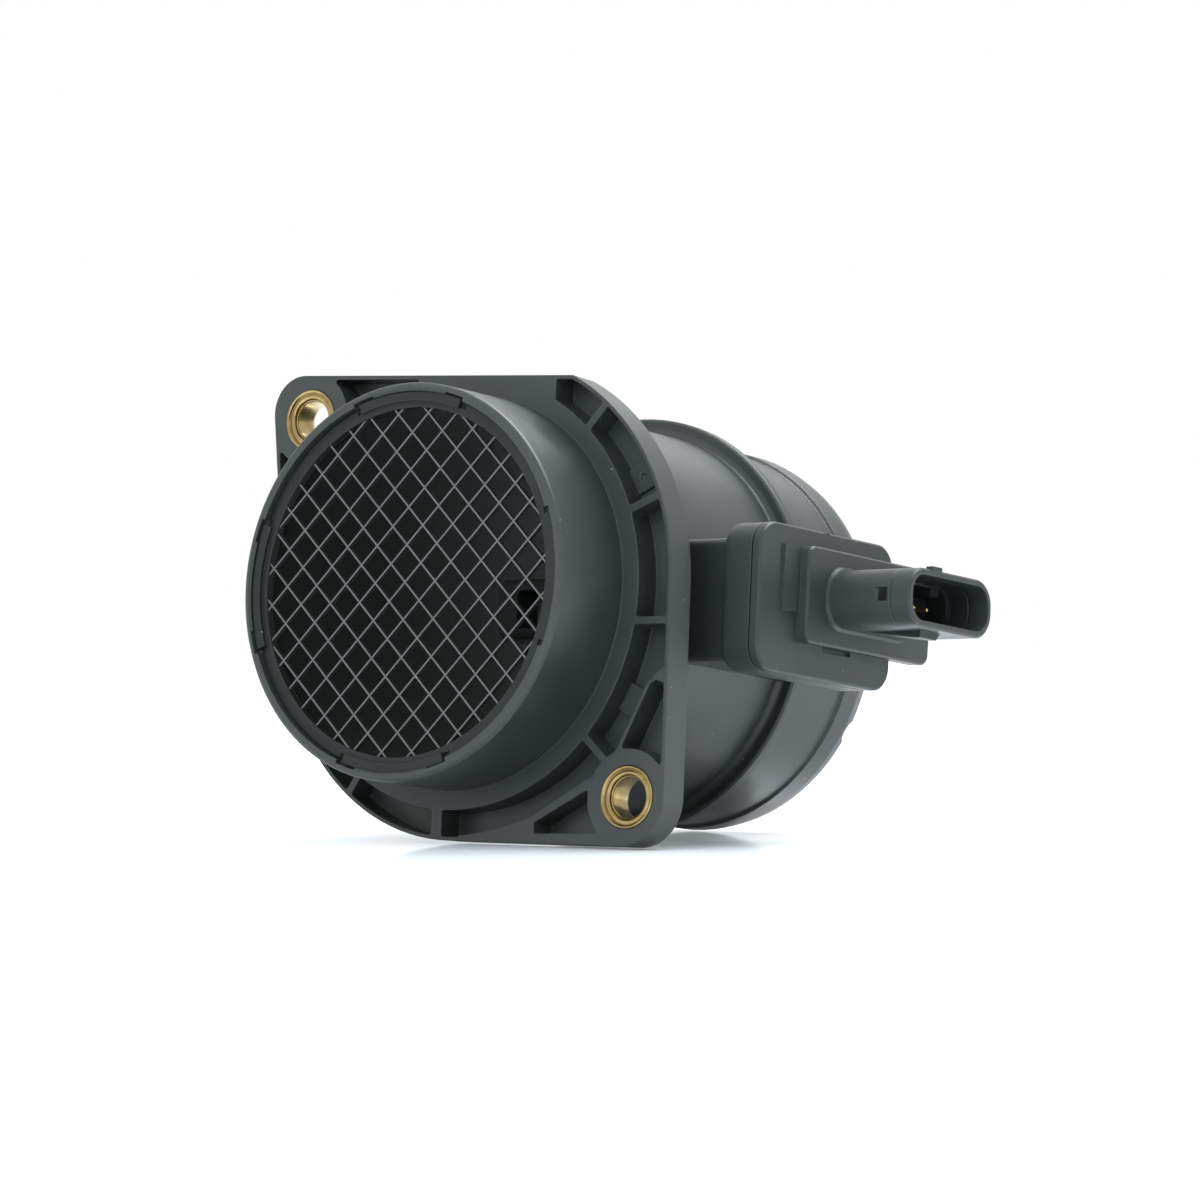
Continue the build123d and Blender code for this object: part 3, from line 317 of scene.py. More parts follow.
def lathe(builder, profile, steps, start=0.0, end=360.0, at=(0.0, 0.0)):
    """Turn a closed (radius, y) outline in mm about an axis along Y; a part turn gets end caps."""
    whole = end - start >= 360
    rings = []
    for step in range(steps if whole else steps + 1):
        angle = radians(start + (end - start) * step / steps)
        places = [(at[0] + r * cos(angle), y, at[1] + r * sin(angle)) for r, y in profile]
        rings.append([builder.verts.new((x * MM, y * MM, z * MM)) for x, y, z in places])
    pairs = list(zip(rings, rings[1:] + rings[:1])) if whole else list(zip(rings, rings[1:]))
    for near, far in pairs:
        for i in range(len(profile)):
            j = (i + 1) % len(profile)
            builder.faces.new((near[i], near[j], far[j], far[i]))
    if not whole:
        builder.faces.new(rings[0])
        builder.faces.new(rings[-1][::-1])


def finished(builder, name, sharp_angle=32):
    """Object from a bmesh: faces outward, smooth but for edges sharper than an angle."""
    bmesh.ops.recalc_face_normals(builder, faces=builder.faces)
    for face in builder.faces:
        face.smooth = True
    for edge in builder.edges:
        edge.smooth = len(edge.link_faces) == 2 and edge.calc_face_angle(0) < radians(sharp_angle)
    mesh = bpy.data.meshes.new(name)
    builder.to_mesh(mesh)
    builder.free()
    piece = bpy.data.objects.new(name, mesh)
    bpy.context.scene.collection.objects.link(piece)
    return piece


def turned_brass(name, at):
    """Brass with lathe rings about the bush's own axis, thin tarnish and painted shade in the groove and at
    the mouth.
    """
    material = bpy.data.materials.new(name)
    material.use_nodes = True
    tree = material.node_tree
    shader = tree.nodes["Principled BSDF"]
    shader.inputs["Metallic"].default_value = 1
    place = add_nodes(tree, "ShaderNodeTexCoord")
    centre = add_nodes(tree, "ShaderNodeMapping")
    centre.inputs["Location"].default_value = (-at[0] * MM, 0, -at[1] * MM)
    tarnish = add_nodes(tree, "ShaderNodeTexNoise")
    tarnish.inputs["Scale"].default_value = 380
    tarnish.inputs["Detail"].default_value = 5
    tint = add_nodes(tree, "ShaderNodeValToRGB")
    tint.color_ramp.elements[0].position = 0.32
    tint.color_ramp.elements[0].color = BRASS_DARK
    tint.color_ramp.elements[1].position = 0.62
    tint.color_ramp.elements[1].color = BRASS_LIGHT
    gloss = add_nodes(tree, "ShaderNodeMapRange")
    gloss.inputs["To Min"].default_value = 0.32
    gloss.inputs["To Max"].default_value = 0.20
    flat = add_nodes(tree, "ShaderNodeVectorMath", operation="MULTIPLY")
    flat.inputs[1].default_value = (1, 0, 1)
    radius = add_nodes(tree, "ShaderNodeVectorMath", operation="LENGTH")
    # Painted shade: dark brown rings in the groove and at the mouth, set by radius about the bush's axis.
    painted_shade_ramp = add_nodes(tree, "ShaderNodeValToRGB")
    stops = painted_shade_ramp.color_ramp.elements
    stops[0].position = 0.0
    stops[1].position = BUSH_PAINTED_SHADE[0][0] / PAINTED_SHADE_SPAN
    stops[0].color = stops[1].color = (0, 0, 0, 1)
    for first, full, last, strength in BUSH_PAINTED_SHADE:
        if first > BUSH_PAINTED_SHADE[0][0]:
            stops.new(first / PAINTED_SHADE_SPAN).color = (0, 0, 0, 1)
        stops.new(full / PAINTED_SHADE_SPAN).color = (strength, strength, strength, 1)
        stops.new(last / PAINTED_SHADE_SPAN).color = (0, 0, 0, 1)
    ramp_place = add_nodes(tree, "ShaderNodeMath", operation="MULTIPLY")
    ramp_place.inputs[1].default_value = MM_IN_METRE / PAINTED_SHADE_SPAN
    painted_shade_on_brass = add_nodes(tree, "ShaderNodeMix", data_type="RGBA")
    painted_shade_on_brass.inputs["B"].default_value = PAINTED_SHADE_BROWN
    rings = add_nodes(tree, "ShaderNodeTexWave", wave_type="RINGS", rings_direction="Y")
    rings.inputs["Scale"].default_value = 1500
    rings.inputs["Distortion"].default_value = 0.3
    rings.inputs["Detail"].default_value = 1
    bump = add_nodes(tree, "ShaderNodeBump")
    bump.inputs["Strength"].default_value = 0.15
    bump.inputs["Distance"].default_value = 0.01 * MM
    link = tree.links.new
    link(place.outputs["Object"], centre.inputs["Vector"])
    link(centre.outputs["Vector"], tarnish.inputs["Vector"])
    link(centre.outputs["Vector"], rings.inputs["Vector"])
    link(tarnish.outputs["Fac"], tint.inputs["Fac"])
    link(centre.outputs["Vector"], flat.inputs[0])
    link(flat.outputs["Vector"], radius.inputs[0])
    link(radius.outputs["Value"], ramp_place.inputs[0])
    link(ramp_place.outputs[0], painted_shade_ramp.inputs["Fac"])
    link(painted_shade_ramp.outputs["Color"], painted_shade_on_brass.inputs["Factor"])
    link(tint.outputs["Color"], painted_shade_on_brass.inputs["A"])
    link(painted_shade_on_brass.outputs["Result"], shader.inputs["Base Color"])
    link(tarnish.outputs["Fac"], gloss.inputs["Value"])
    link(gloss.outputs["Result"], shader.inputs["Roughness"])
    link(rings.outputs["Fac"], bump.inputs["Height"])
    link(bump.outputs["Normal"], shader.inputs["Normal"])
    return material


for bush_node, bush_at in BUSH_PLACES.items():
    turned_bush = bmesh.new()
    lathe(turned_bush, BUSH_PROFILE, BUSH_STEPS, at=bush_at)
    bush_piece = finished(turned_bush, f"{bush_node}_turned", sharp_angle=50)
    bush_piece.data.materials.append(turned_brass(f"{bush_node}_brass", bush_at))
    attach(bush_piece, "root")
    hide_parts(bush_node)

# ---------------------------------------------------------------- pocket pads
# Raised pads on the floors of the two right flange pockets, moulded with the housing.
# The upper one stands over an ejector pin, which leaves a round dimple in it, and a
# narrow slot parts it from the rib below.
PAD_FRONT, PAD_FOOT = 4.2, 5.35
PADS = {                          # angles about the duct's axis, and radii
    "upper_pocket_pad": ((25.7, 33.0), (38.3, 44.3)),
    "lower_pocket_pad": ((-32.6, -24.8), (38.3, 41.6))}
DIMPLE_AT, DIMPLE_R, DIMPLE_DEEP = (35.5, 19.75), 0.65, 0.3
PAD_STEPS, DIMPLE_STEPS = 6, 28


def pad_on_floor(angles, radii, dimple):
    """Slab between two arcs about the duct axis, with a round blind hole or none."""
    builder = bmesh.new()
    (first, last), (inner, outer) = angles, radii
    turns = [radians(first + (last - first) * step / PAD_STEPS) for step in range(PAD_STEPS + 1)]
    rim = [(inner * cos(a), inner * sin(a)) for a in turns]
    rim += [(outer * cos(a), outer * sin(a)) for a in turns[::-1]]
    loops = [(rim, PAD_FOOT)]
    if dimple:
        steps = [2 * pi * step / DIMPLE_STEPS for step in range(DIMPLE_STEPS)]
        hole = [(DIMPLE_AT[0] + DIMPLE_R * cos(a), DIMPLE_AT[1] + DIMPLE_R * sin(a)) for a in steps]
        loops.append((hole, PAD_FRONT + DIMPLE_DEEP))
    edges = []
    for points, depth in loops:
        front = [builder.verts.new((x * MM, PAD_FRONT * MM, z * MM)) for x, z in points]
        foot = [builder.verts.new((x * MM, depth * MM, z * MM)) for x, z in points]
        edges += [builder.edges.new(pair) for pair in zip(front, front[1:] + front[:1])]
        for i in range(len(points)):
            j = (i + 1) % len(points)
            builder.faces.new((front[i], front[j], foot[j], foot[i]))
        builder.faces.new(foot)
    bmesh.ops.triangle_fill(builder, use_beauty=True, edges=edges)
    return builder


for pad_name, (pad_angles, pad_radii) in PADS.items():
    pad_shape = pad_on_floor(pad_angles, pad_radii, dimple=pad_name == "upper_pocket_pad")
    pad_piece = finished(pad_shape, pad_name, sharp_angle=30)
    pad_piece.data.materials.append(housing_black)
    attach(pad_piece, "root")

# ---------------------------------------------------------------- inlet grid
# Clip-in flow straightener, one moulding of black nylon: a rim, a web of thin bars
# crossed at right angles, and four snap hooks that click into recesses in the spigot.
GRID_OPENING = 30.7               # inside of the rim, mm
GRID_OUTSIDE = 33.05
GRID_FACE, GRID_FOOT = -16.7, -14.3
BAR_CROSSING = 6.59               # from one crossing to the next, level
BAR_PITCH = BAR_CROSSING / 2 ** 0.5
BAR_WIDTH, BAR_DEPTH, BAR_ROUNDING = 0.34, 1.0, 0.08
BAR_MIDDLE = -15.8
BAR_COUNT = 13
BAR_IN_RIM = 0.3                  # how far a bar's end runs into the rim
BAR_OFFSET = 0.01                 # keeps the faces of the two layers apart
BAR_FACE = 0.10                   # front part of a bar that the painted shade leaves out, so that it keeps its painted highlight
LEAST_SQUARE = 1e-8               # keeps the root real beyond the opening
RIM_STEP, RIM_CHAMFER, RIM_STEPS = 0.4, 0.12, 144
HOOK_INNER, HOOK_OUTER = 31.75, 33.65
HOOK_FACE = -17.45
HOOK_CHAMFER, HOOK_SLOPE, HOOK_STEPS = 0.15, 0.25, 24
HOOK_SPAN = 39.0
HOOK_GAP = 2.3                    # slot beside each hook, degrees
GAP_INNER, LAND_STEPS = 31.95, 32
SUNK, ROOT = 0.02, 0.45           # how far hooks and lands reach past the rim's faces, and into it


def bars_tree():
    """Bars side by side, each as long as its chord of the opening, laid both ways."""
    tree = bpy.data.node_groups.new("crossed_bars", "GeometryNodeTree")
    sockets = [
        ("Pitch", FLOAT, BAR_PITCH * MM), ("Opening Radius", FLOAT, GRID_OPENING * MM),
        ("Bar Width", FLOAT, BAR_WIDTH * MM), ("Bar Depth", FLOAT, BAR_DEPTH * MM),
        ("Edge Radius", FLOAT, BAR_ROUNDING * MM), ("Bars", "NodeSocketInt", BAR_COUNT),
        ("Middle", FLOAT, BAR_MIDDLE * MM), ("Finish", "NodeSocketMaterial", None)]
    for label, kind, default in sockets:
        socket = tree.interface.new_socket(name=label, in_out="INPUT", socket_type=kind)
        if default is not None:
            socket.default_value = default
    tree.interface.new_socket(name="Geometry", in_out="OUTPUT", socket_type="NodeSocketGeometry")
    given = tree.nodes.new("NodeGroupInput")
    out = tree.nodes.new("NodeGroupOutput")
    link = tree.links.new

    def worked_out(operation, first, second):
        made = add_nodes(tree, "ShaderNodeMath", operation=operation)
        for socket, value in zip(made.inputs, (first, second)):
            if isinstance(value, (int, float)):
                socket.default_value = value
            else:
                link(value, socket)
        return made.outputs[0]

    gaps = worked_out("SUBTRACT", given.outputs["Bars"], 1)
    first_y = worked_out("MULTIPLY", worked_out("MULTIPLY", gaps, given.outputs["Pitch"]), -0.5)
    start = add_nodes(tree, "ShaderNodeCombineXYZ")
    step = add_nodes(tree, "ShaderNodeCombineXYZ")
    link(first_y, start.inputs["Y"])
    link(given.outputs["Pitch"], step.inputs["Y"])
    rows = add_nodes(tree, "GeometryNodeMeshLine", mode="OFFSET")
    link(given.outputs["Bars"], rows.inputs["Count"])
    link(start.outputs[0], rows.inputs["Start Location"])
    link(step.outputs[0], rows.inputs["Offset"])
    where = add_nodes(tree, "GeometryNodeInputPosition")
    apart = add_nodes(tree, "ShaderNodeSeparateXYZ")
    link(where.outputs[0], apart.inputs[0])
    radius_squared = worked_out("POWER", given.outputs["Opening Radius"], 2)
    row_squared = worked_out("POWER", apart.outputs["Y"], 2)
    chord_squared = worked_out("MAXIMUM", worked_out("SUBTRACT", radius_squared, row_squared), LEAST_SQUARE)
    reach = worked_out("ADD", worked_out("SQRT", chord_squared, 0), BAR_IN_RIM * MM)
    stretch = add_nodes(tree, "ShaderNodeCombineXYZ")
    stretch.inputs["Y"].default_value = 1
    stretch.inputs["Z"].default_value = 1
    link(reach, stretch.inputs["X"])
    line = add_nodes(tree, "GeometryNodeCurvePrimitiveLine")
    line.inputs["Start"].default_value = (-1, 0, 0)
    line.inputs["End"].default_value = (1, 0, 0)
    section = add_nodes(tree, "GeometryNodeCurvePrimitiveQuadrilateral", mode="RECTANGLE")
    link(given.outputs["Bar Width"], section.inputs["Width"])
    link(given.outputs["Bar Depth"], section.inputs["Height"])
    rounded = add_nodes(tree, "GeometryNodeFilletCurve", mode="POLY")
    rounded.inputs["Count"].default_value = 2
    link(section.outputs[0], rounded.inputs["Curve"])
    link(given.outputs["Edge Radius"], rounded.inputs["Radius"])
    bar = add_nodes(tree, "GeometryNodeCurveToMesh")
    bar.inputs["Fill Caps"].default_value = True
    link(line.outputs[0], bar.inputs["Curve"])
    link(rounded.outputs[0], bar.inputs["Profile Curve"])
    laid = add_nodes(tree, "GeometryNodeInstanceOnPoints")
    link(rows.outputs[0], laid.inputs["Points"])
    link(bar.outputs[0], laid.inputs["Instance"])
    link(stretch.outputs[0], laid.inputs["Scale"])
    both = add_nodes(tree, "GeometryNodeJoinGeometry")
    for turn_angle, sink in ((45, 0.0), (-45, BAR_OFFSET * MM)):
        turned = add_nodes(tree, "GeometryNodeTransform")
        turned.inputs["Rotation"].default_value = (0, 0, radians(turn_angle))
        turned.inputs["Translation"].default_value = (0, 0, sink)
        link(laid.outputs[0], turned.inputs["Geometry"])
        link(turned.outputs[0], both.inputs[0])
    upright = add_nodes(tree, "GeometryNodeTransform")
    upright.inputs["Rotation"].default_value = (pi / 2, 0, 0)
    shift = add_nodes(tree, "ShaderNodeCombineXYZ")
    link(given.outputs["Middle"], shift.inputs["Y"])
    link(shift.outputs[0], upright.inputs["Translation"])
    link(both.outputs[0], upright.inputs["Geometry"])
    real = add_nodes(tree, "GeometryNodeRealizeInstances")
    link(upright.outputs[0], real.inputs[0])
    painted = add_nodes(tree, "GeometryNodeSetMaterial")
    link(real.outputs[0], painted.inputs["Geometry"])
    link(given.outputs["Finish"], painted.inputs["Material"])
    link(painted.outputs[0], out.inputs[0])
    return tree


def plain_mesh(tree, name, **values):
    """Run a Geometry Nodes tree with its inputs set and keep only the mesh it makes."""
    carrier = bpy.data.objects.new(name, bpy.data.meshes.new(name))
    bpy.context.scene.collection.objects.link(carrier)
    modifier = carrier.modifiers.new("shape", "NODES")
    modifier.node_group = tree
    for item in tree.interface.items_tree:
        label = item.name.replace(" ", "_")
        if item.in_out == "INPUT" and label in values:
            modifier[item.identifier] = values[label]
    carrier.update_tag()
    bpy.context.view_layer.update()
    evaluated = carrier.evaluated_get(bpy.context.evaluated_depsgraph_get())
    mesh = bpy.data.meshes.new_from_object(evaluated)
    bpy.data.objects.remove(carrier)
    return mesh


# Painted highlight: the bars are far paler than the rim's nylon, so their front faces read bright; behind the
# front the duct's painted shade darkens their sides.
bar_painted_highlight = moulded_plastic(
    "grid_bar_edges", dark=(0.060, 0.067, 0.068), light=(0.082, 0.089, 0.092), smooth=0.30, rough=0.42,
    edge_width=BAR_ROUNDING, edge_strength=0.0, painted_shade_from=BAR_MIDDLE - BAR_DEPTH / 2 + BAR_FACE)
grid_black = moulded_plastic(
    "grid_black_nylon", dark=(0.008, 0.0095, 0.009), light=(0.014, 0.016, 0.0155), smooth=0.34, rough=0.44,
    edge_width=0.15, edge_strength=0.3, specular=0.24)
flow_grid = bmesh.new()
flow_grid.from_mesh(plain_mesh(bars_tree(), "grid_bars", Finish=bar_painted_highlight))
bar_faces = len(flow_grid.faces)
RIM_PROFILE = [
    (GRID_OPENING, GRID_FACE + RIM_CHAMFER), (GRID_OPENING + RIM_CHAMFER, GRID_FACE), (GAP_INNER, GRID_FACE),
    (GAP_INNER, GRID_FACE + RIM_STEP), (GRID_OUTSIDE, GRID_FACE + RIM_STEP), (GRID_OUTSIDE, GRID_FOOT),
    (GRID_OPENING, GRID_FOOT)]
HOOK_PROFILE = [
    (HOOK_INNER, HOOK_FACE + HOOK_CHAMFER), (HOOK_INNER + HOOK_CHAMFER, HOOK_FACE),
    (HOOK_OUTER - HOOK_SLOPE, HOOK_FACE), (HOOK_OUTER, HOOK_FACE + HOOK_SLOPE),
    (HOOK_OUTER, GRID_FACE - SUNK), (GRID_OUTSIDE - SUNK, GRID_FACE),
    (GRID_OUTSIDE - SUNK, GRID_FACE + ROOT), (HOOK_INNER, GRID_FACE + ROOT)]
LAND_PROFILE = [
    (GAP_INNER - SUNK, GRID_FACE), (GRID_OUTSIDE - RIM_CHAMFER, GRID_FACE),
    (GRID_OUTSIDE, GRID_FACE + RIM_CHAMFER), (GRID_OUTSIDE, GRID_FACE + ROOT),
    (GAP_INNER - SUNK, GRID_FACE + ROOT)]
lathe(flow_grid, RIM_PROFILE, RIM_STEPS)
for quarter in (0, 90, 180, 270):
    hook_from = quarter - HOOK_SPAN / 2
    hook_to = quarter + HOOK_SPAN / 2
    lathe(flow_grid, HOOK_PROFILE, HOOK_STEPS, hook_from, hook_to)
    lathe(flow_grid, LAND_PROFILE, LAND_STEPS, hook_to + HOOK_GAP, hook_from + 90 - HOOK_GAP)
flow_grid.faces.ensure_lookup_table()
for count, grid_face in enumerate(flow_grid.faces):
    grid_face.material_index = 0 if count < bar_faces else 1
grid_piece = finished(flow_grid, "flow_grid", sharp_angle=40)
grid_piece.data.materials.append(bar_painted_highlight)
grid_piece.data.materials.append(grid_black)
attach(grid_piece, "root")
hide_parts("inlet_grid")

# ---------------------------------------------------------------- sensor head and finger
# Plug socket, cover plate and measuring finger in one moulding, pushed through the pad
# of the duct and held there. Its black is a little paler and less glossy than the duct's,
# and the mould has left a parting line near the socket's mouth. Two flat covers close it.
HEAD_PARTING_X = 67.3
# Inside the duct the finger takes a paler painted shade than the housing's.
head_black = moulded_plastic(
    "head_black_polyester", dark=(0.0215, 0.0256, 0.0256), light=(0.034, 0.0395, 0.0402), smooth=0.32,
    rough=0.42, edge_width=0.28, painted_shade_color=(0.012, 0.0145, 0.0138), specular=0.27, parting_x=HEAD_PARTING_X)
dress("sensor_carrier", head_black)
cover_black = moulded_plastic(
    "cover_black_polyester", dark=(0.014, 0.015, 0.016), light=(0.024, 0.025, 0.026), smooth=0.34, rough=0.46,
    edge_width=0.15, edge_strength=0.4)
dress("hybrid_cover", cover_black)
dress("bypass_cover", cover_black)

# ---------------------------------------------------------------- seal, electronics, terminals
# What the closed head holds: a rubber ring, an aluminium heat plate with the board
# and its parts, five stamped terminals, and the glass bead on its two wires.
GLOSS_CHANGE = 0.2                # share by which the roughness goes down and up
SKIN_STRENGTH, SKIN_DEPTH = 0.2, 0.01


def plain_finish(name, low, high, roughness, scale, metallic=0.0):
    """Finish of a small part: mottled between two colours, with a light surface bump."""
    material = bpy.data.materials.new(name)
    material.use_nodes = True
    tree = material.node_tree
    shader = tree.nodes["Principled BSDF"]
    shader.inputs["Metallic"].default_value = metallic
    place = add_nodes(tree, "ShaderNodeTexCoord")
    mottle = add_nodes(tree, "ShaderNodeTexNoise")
    mottle.inputs["Scale"].default_value = scale
    mottle.inputs["Detail"].default_value = 4
    tint = add_nodes(tree, "ShaderNodeValToRGB")
    tint.color_ramp.elements[0].position = 0.35
    tint.color_ramp.elements[0].color = (*low, 1)
    tint.color_ramp.elements[1].position = 0.65
    tint.color_ramp.elements[1].color = (*high, 1)
    gloss = add_nodes(tree, "ShaderNodeMapRange")
    gloss.inputs["To Min"].default_value = roughness * (1 - GLOSS_CHANGE)
    gloss.inputs["To Max"].default_value = roughness * (1 + GLOSS_CHANGE)
    bump = add_nodes(tree, "ShaderNodeBump")
    bump.inputs["Strength"].default_value = SKIN_STRENGTH
    bump.inputs["Distance"].default_value = SKIN_DEPTH * MM
    link = tree.links.new
    link(place.outputs["Object"], mottle.inputs["Vector"])
    link(mottle.outputs["Fac"], tint.inputs["Fac"])
    link(tint.outputs["Color"], shader.inputs["Base Color"])
    link(mottle.outputs["Fac"], gloss.inputs["Value"])
    link(gloss.outputs["Result"], shader.inputs["Roughness"])
    link(mottle.outputs["Fac"], bump.inputs["Height"])
    link(bump.outputs["Normal"], shader.inputs["Normal"])
    return material


seal_rubber = plain_finish("seal_rubber_black", (0.010, 0.010, 0.011), (0.018, 0.018, 0.019), 0.6, 900)
dress("carrier_seal", seal_rubber)
aluminium = plain_finish("rolled_aluminium", (0.62, 0.63, 0.64), (0.72, 0.73, 0.74), 0.35, 700, 1.0)
dress("heat_plate", aluminium)
dress("chip_tongue", aluminium)
dress("hybrid_board", plain_finish("board_ceramic_white", (0.55, 0.56, 0.54), (0.68, 0.69, 0.67), 0.5, 500))
dress("evaluation_chip", plain_finish("chip_epoxy", (0.012, 0.012, 0.013), (0.022, 0.022, 0.024), 0.5, 1200))
capacitor = plain_finish("capacitor_ceramic", (0.30, 0.20, 0.11), (0.40, 0.28, 0.17), 0.4, 900)
dress("capacitor_a", capacitor)
dress("capacitor_b", capacitor)
silicon = plain_finish("sensor_silicon_grey", (0.07, 0.08, 0.11), (0.11, 0.12, 0.16), 0.2, 1500, 0.5)
dress("sensor_chip", silicon)
terminal_gold = plain_finish("terminal_gold_plate", (0.72, 0.50, 0.20), (0.85, 0.63, 0.30), 0.25, 800, 1.0)
for number in range(1, 6):
    dress(f"terminal_{number}", terminal_gold)
dress("ntc_bead", plain_finish("bead_glass_amber", (0.20, 0.10, 0.04), (0.32, 0.18, 0.08), 0.12, 700))
lead_wire = plain_finish("tinned_lead", (0.55, 0.54, 0.52), (0.68, 0.67, 0.65), 0.3, 900, 1.0)
dress("ntc_lead_a", lead_wire)
dress("ntc_lead_b", lead_wire)

# ---------------------------------------------------------------- table
# A plain white table top, slightly glossy. The part leans on the back edge of its
# flange and on its outlet ring, so the table is tilted against the part's own axes.
TABLE_REST = (0.0, 0.0063, -0.0437)      # under the flange's back edge
TABLE_RISE = 6.6                         # degrees, from the inlet to the outlet
TABLE_FALL = 1.7                         # degrees, from the left to the right
TABLE_SIZE = 8.0
TABLE_COLOR, SHINE_COLOR, GLOW_COLOR = (0.74, 0.79, 0.83, 1), (0.95, 0.98, 1.0, 1), (0.90, 0.96, 1.0, 1)
SHINE_SHARE, SHINE_ROUGHNESS = 0.5, 0.07
PAINTED_SHADE_NEAR, GLOW_FAR = (0.06, 0.15), (0.22, 0.85)      # (distance from the origin on the duct's axis, strength of white); the weaker glow near the part is painted shade


def seen_or_mirrored(tree):
    """1 for camera, glossy and transmission rays, which are shown plain white, and 0 for the rest."""
    seen = add_nodes(tree, "ShaderNodeLightPath")
    mirrored = add_nodes(tree, "ShaderNodeMath", operation="ADD")
    shown = add_nodes(tree, "ShaderNodeMath", operation="ADD", use_clamp=True)
    tree.links.new(seen.outputs["Is Glossy Ray"], mirrored.inputs[0])
    tree.links.new(seen.outputs["Is Transmission Ray"], mirrored.inputs[1])
    tree.links.new(seen.outputs["Is Camera Ray"], shown.inputs[0])
    tree.links.new(mirrored.outputs[0], shown.inputs[1])
    return shown.outputs[0]


def table_finish():
    material = bpy.data.materials.new("table_white")
    material.use_nodes = True
    tree = material.node_tree
    tree.nodes.remove(tree.nodes["Principled BSDF"])
    out = tree.nodes["Material Output"]
    matt = add_nodes(tree, "ShaderNodeBsdfDiffuse")
    matt.inputs["Color"].default_value = TABLE_COLOR
    shine = add_nodes(tree, "ShaderNodeBsdfAnisotropic")
    shine.inputs["Color"].default_value = SHINE_COLOR
    shine.inputs["Roughness"].default_value = SHINE_ROUGHNESS
    surface = add_nodes(tree, "ShaderNodeMixShader")
    surface.inputs["Fac"].default_value = SHINE_SHARE
    place = add_nodes(tree, "ShaderNodeTexCoord")
    away = add_nodes(tree, "ShaderNodeVectorMath", operation="LENGTH")
    # Painted shade: the white glow is weaker near the part, so the floor round and under it can go darker.
    painted_shade_fade = add_nodes(tree, "ShaderNodeMapRange")
    painted_shade_fade.inputs["From Min"].default_value = PAINTED_SHADE_NEAR[0]
    painted_shade_fade.inputs["From Max"].default_value = GLOW_FAR[0]
    painted_shade_fade.inputs["To Min"].default_value = PAINTED_SHADE_NEAR[1]
    painted_shade_fade.inputs["To Max"].default_value = GLOW_FAR[1]
    glow = add_nodes(tree, "ShaderNodeEmission")
    glow.inputs["Color"].default_value = GLOW_COLOR
    level = add_nodes(tree, "ShaderNodeMath", operation="MULTIPLY")
    together = add_nodes(tree, "ShaderNodeAddShader")
    link = tree.links.new
    link(matt.outputs[0], surface.inputs[1])
    link(shine.outputs[0], surface.inputs[2])
    link(place.outputs["Object"], away.inputs[0])
    link(away.outputs["Value"], painted_shade_fade.inputs["Value"])
    link(seen_or_mirrored(tree), level.inputs[0])
    link(painted_shade_fade.outputs["Result"], level.inputs[1])
    link(level.outputs[0], glow.inputs["Strength"])
    link(surface.outputs[0], together.inputs[0])
    link(glow.outputs[0], together.inputs[1])
    link(together.outputs[0], out.inputs["Surface"])
    return material


table_mesh = bpy.data.meshes.new("table_top")
corners = [(x * TABLE_SIZE / 2, y * TABLE_SIZE / 2) for x, y in ((-1, -1), (1, -1), (1, 1), (-1, 1))]
rise = tan(radians(TABLE_RISE))
fall = tan(radians(TABLE_FALL))
x0, y0, z0 = TABLE_REST
table_points = [(x, y, z0 + (y - y0) * rise - (x - x0) * fall) for x, y in corners]
table_mesh.from_pydata(table_points, [], [(0, 1, 2, 3)])
table_mesh.materials.append(table_finish())
table_top = bpy.data.objects.new("table_top", table_mesh)
bpy.context.scene.collection.objects.link(table_top)

# ---------------------------------------------------------------- light
# A plain studio: a pale room, white behind and above, with four soft lamps. One hangs
# above the duct's outlet, and a faint one lifts the back edges on the left. The two in
# front give no reflections, which would whiten every upper face in a low view from behind.
WHITE_SIDE = (-0.60, 0.55, 0.58)         # towards the white wall and the ceiling
DIM, WHITE = (-0.75, 0.30), (0.35, 1.0)  # (how far round to the white side, brightness)
DAYLIGHT = (0.92, 0.97, 1.0)
world = bpy.data.worlds.new("studio")
bpy.context.scene.world = world
world.use_nodes = True
room = world.node_tree
room_light = room.nodes["Background"]
room_light.inputs["Color"].default_value = (1, 1, 1, 1)
room_place = add_nodes(room, "ShaderNodeTexCoord")
room_side = add_nodes(room, "ShaderNodeVectorMath", operation="DOT_PRODUCT")
room_side.inputs[1].default_value = WHITE_SIDE
room_level = add_nodes(room, "ShaderNodeMapRange", interpolation_type="SMOOTHSTEP")
room_level.inputs["From Min"].default_value = DIM[0]
room_level.inputs["From Max"].default_value = WHITE[0]
room_level.inputs["To Min"].default_value = DIM[1]
room_level.inputs["To Max"].default_value = WHITE[1]
room_direct = add_nodes(room, "ShaderNodeMix", data_type="FLOAT")
room_direct.inputs["B"].default_value = 1.0
link = room.links.new
link(room_place.outputs["Generated"], room_side.inputs[0])
link(room_side.outputs["Value"], room_level.inputs["Value"])
link(room_level.outputs["Result"], room_direct.inputs["A"])
link(seen_or_mirrored(room), room_direct.inputs["Factor"])
link(room_direct.outputs["Result"], room_light.inputs["Strength"])


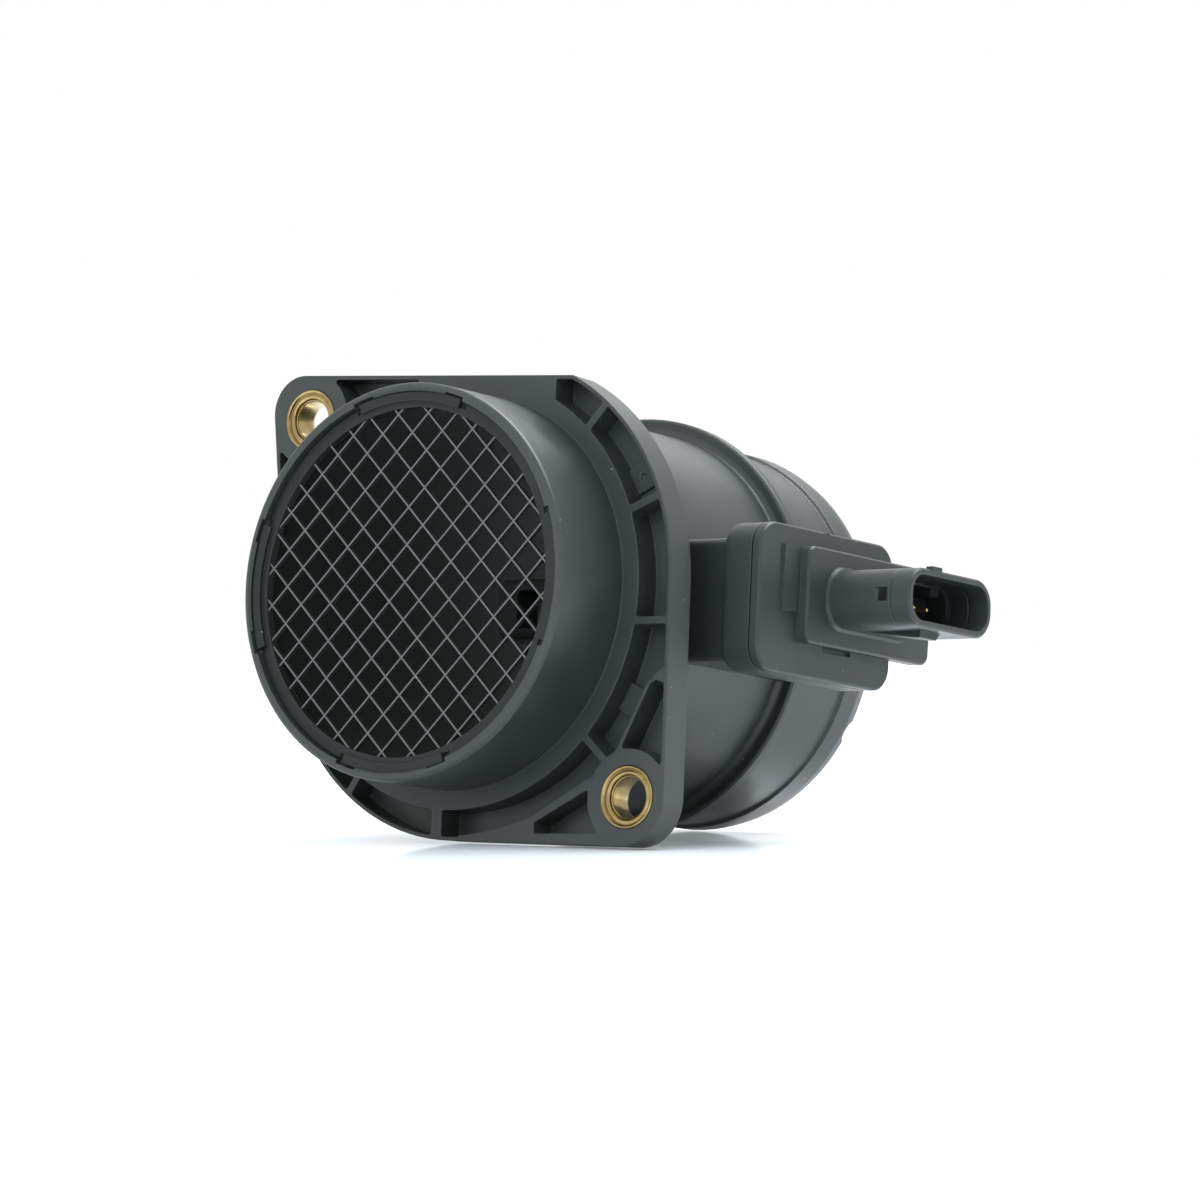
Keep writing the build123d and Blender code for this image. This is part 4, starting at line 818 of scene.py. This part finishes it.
def soft_lamp(name, at, width, height, power, mirrored):
    light = bpy.data.lights.new(name, "AREA")
    light.shape = "RECTANGLE"
    light.size = width
    light.size_y = height
    light.energy = power
    light.color = DAYLIGHT
    lamp = bpy.data.objects.new(name, light)
    lamp.location = at
    lamp.rotation_euler = (-Vector(at)).to_track_quat("-Z", "Y").to_euler()
    lamp.visible_glossy = mirrored
    bpy.context.scene.collection.objects.link(lamp)


soft_lamp("lamp_front", (0.05, -1.0, 0.50), 1.0, 0.9, 10, mirrored=False)
soft_lamp("lamp_right", (0.30, -0.90, 0.25), 0.6, 0.5, 4, mirrored=False)
soft_lamp("lamp_top", (0.20, 0.34, 0.85), 0.9, 0.5, 12.5, mirrored=True)
soft_lamp("lamp_back_left", (-0.42, 0.62, 0.66), 0.7, 0.4, 0.3, mirrored=True)

# ---------------------------------------------------------------- camera
# Long lens, about a metre away, level with the table and turned to the inlet side.
AZIMUTH, ELEVATION, ROLL = radians(36.378), radians(-6.350), radians(2.670)
SHIFT_RIGHT, SHIFT_UP, DISTANCE = 24.399 * MM, -1.224 * MM, 1018.56 * MM
SENSOR_WIDTH, FOCAL_LENGTH = 36, 173.26
across = Vector((cos(AZIMUTH), sin(AZIMUTH), 0))
above = Vector((-sin(AZIMUTH) * sin(ELEVATION), cos(AZIMUTH) * sin(ELEVATION), cos(ELEVATION)))
towards = Vector((sin(AZIMUTH) * cos(ELEVATION), -cos(AZIMUTH) * cos(ELEVATION), sin(ELEVATION)))
right = across * cos(ROLL) + above * sin(ROLL)
up = above * cos(ROLL) - across * sin(ROLL)
lens = bpy.data.cameras.new("camera")
lens.sensor_width = SENSOR_WIDTH
lens.lens = FOCAL_LENGTH
camera = bpy.data.objects.new("camera", lens)
turn = Matrix((right, up, towards)).transposed().to_4x4()
camera.matrix_world = Matrix.Translation(right * SHIFT_RIGHT + up * SHIFT_UP + towards * DISTANCE) @ turn
bpy.context.scene.collection.objects.link(camera)
bpy.context.scene.camera = camera
bpy.context.scene.view_settings.view_transform = "Standard"
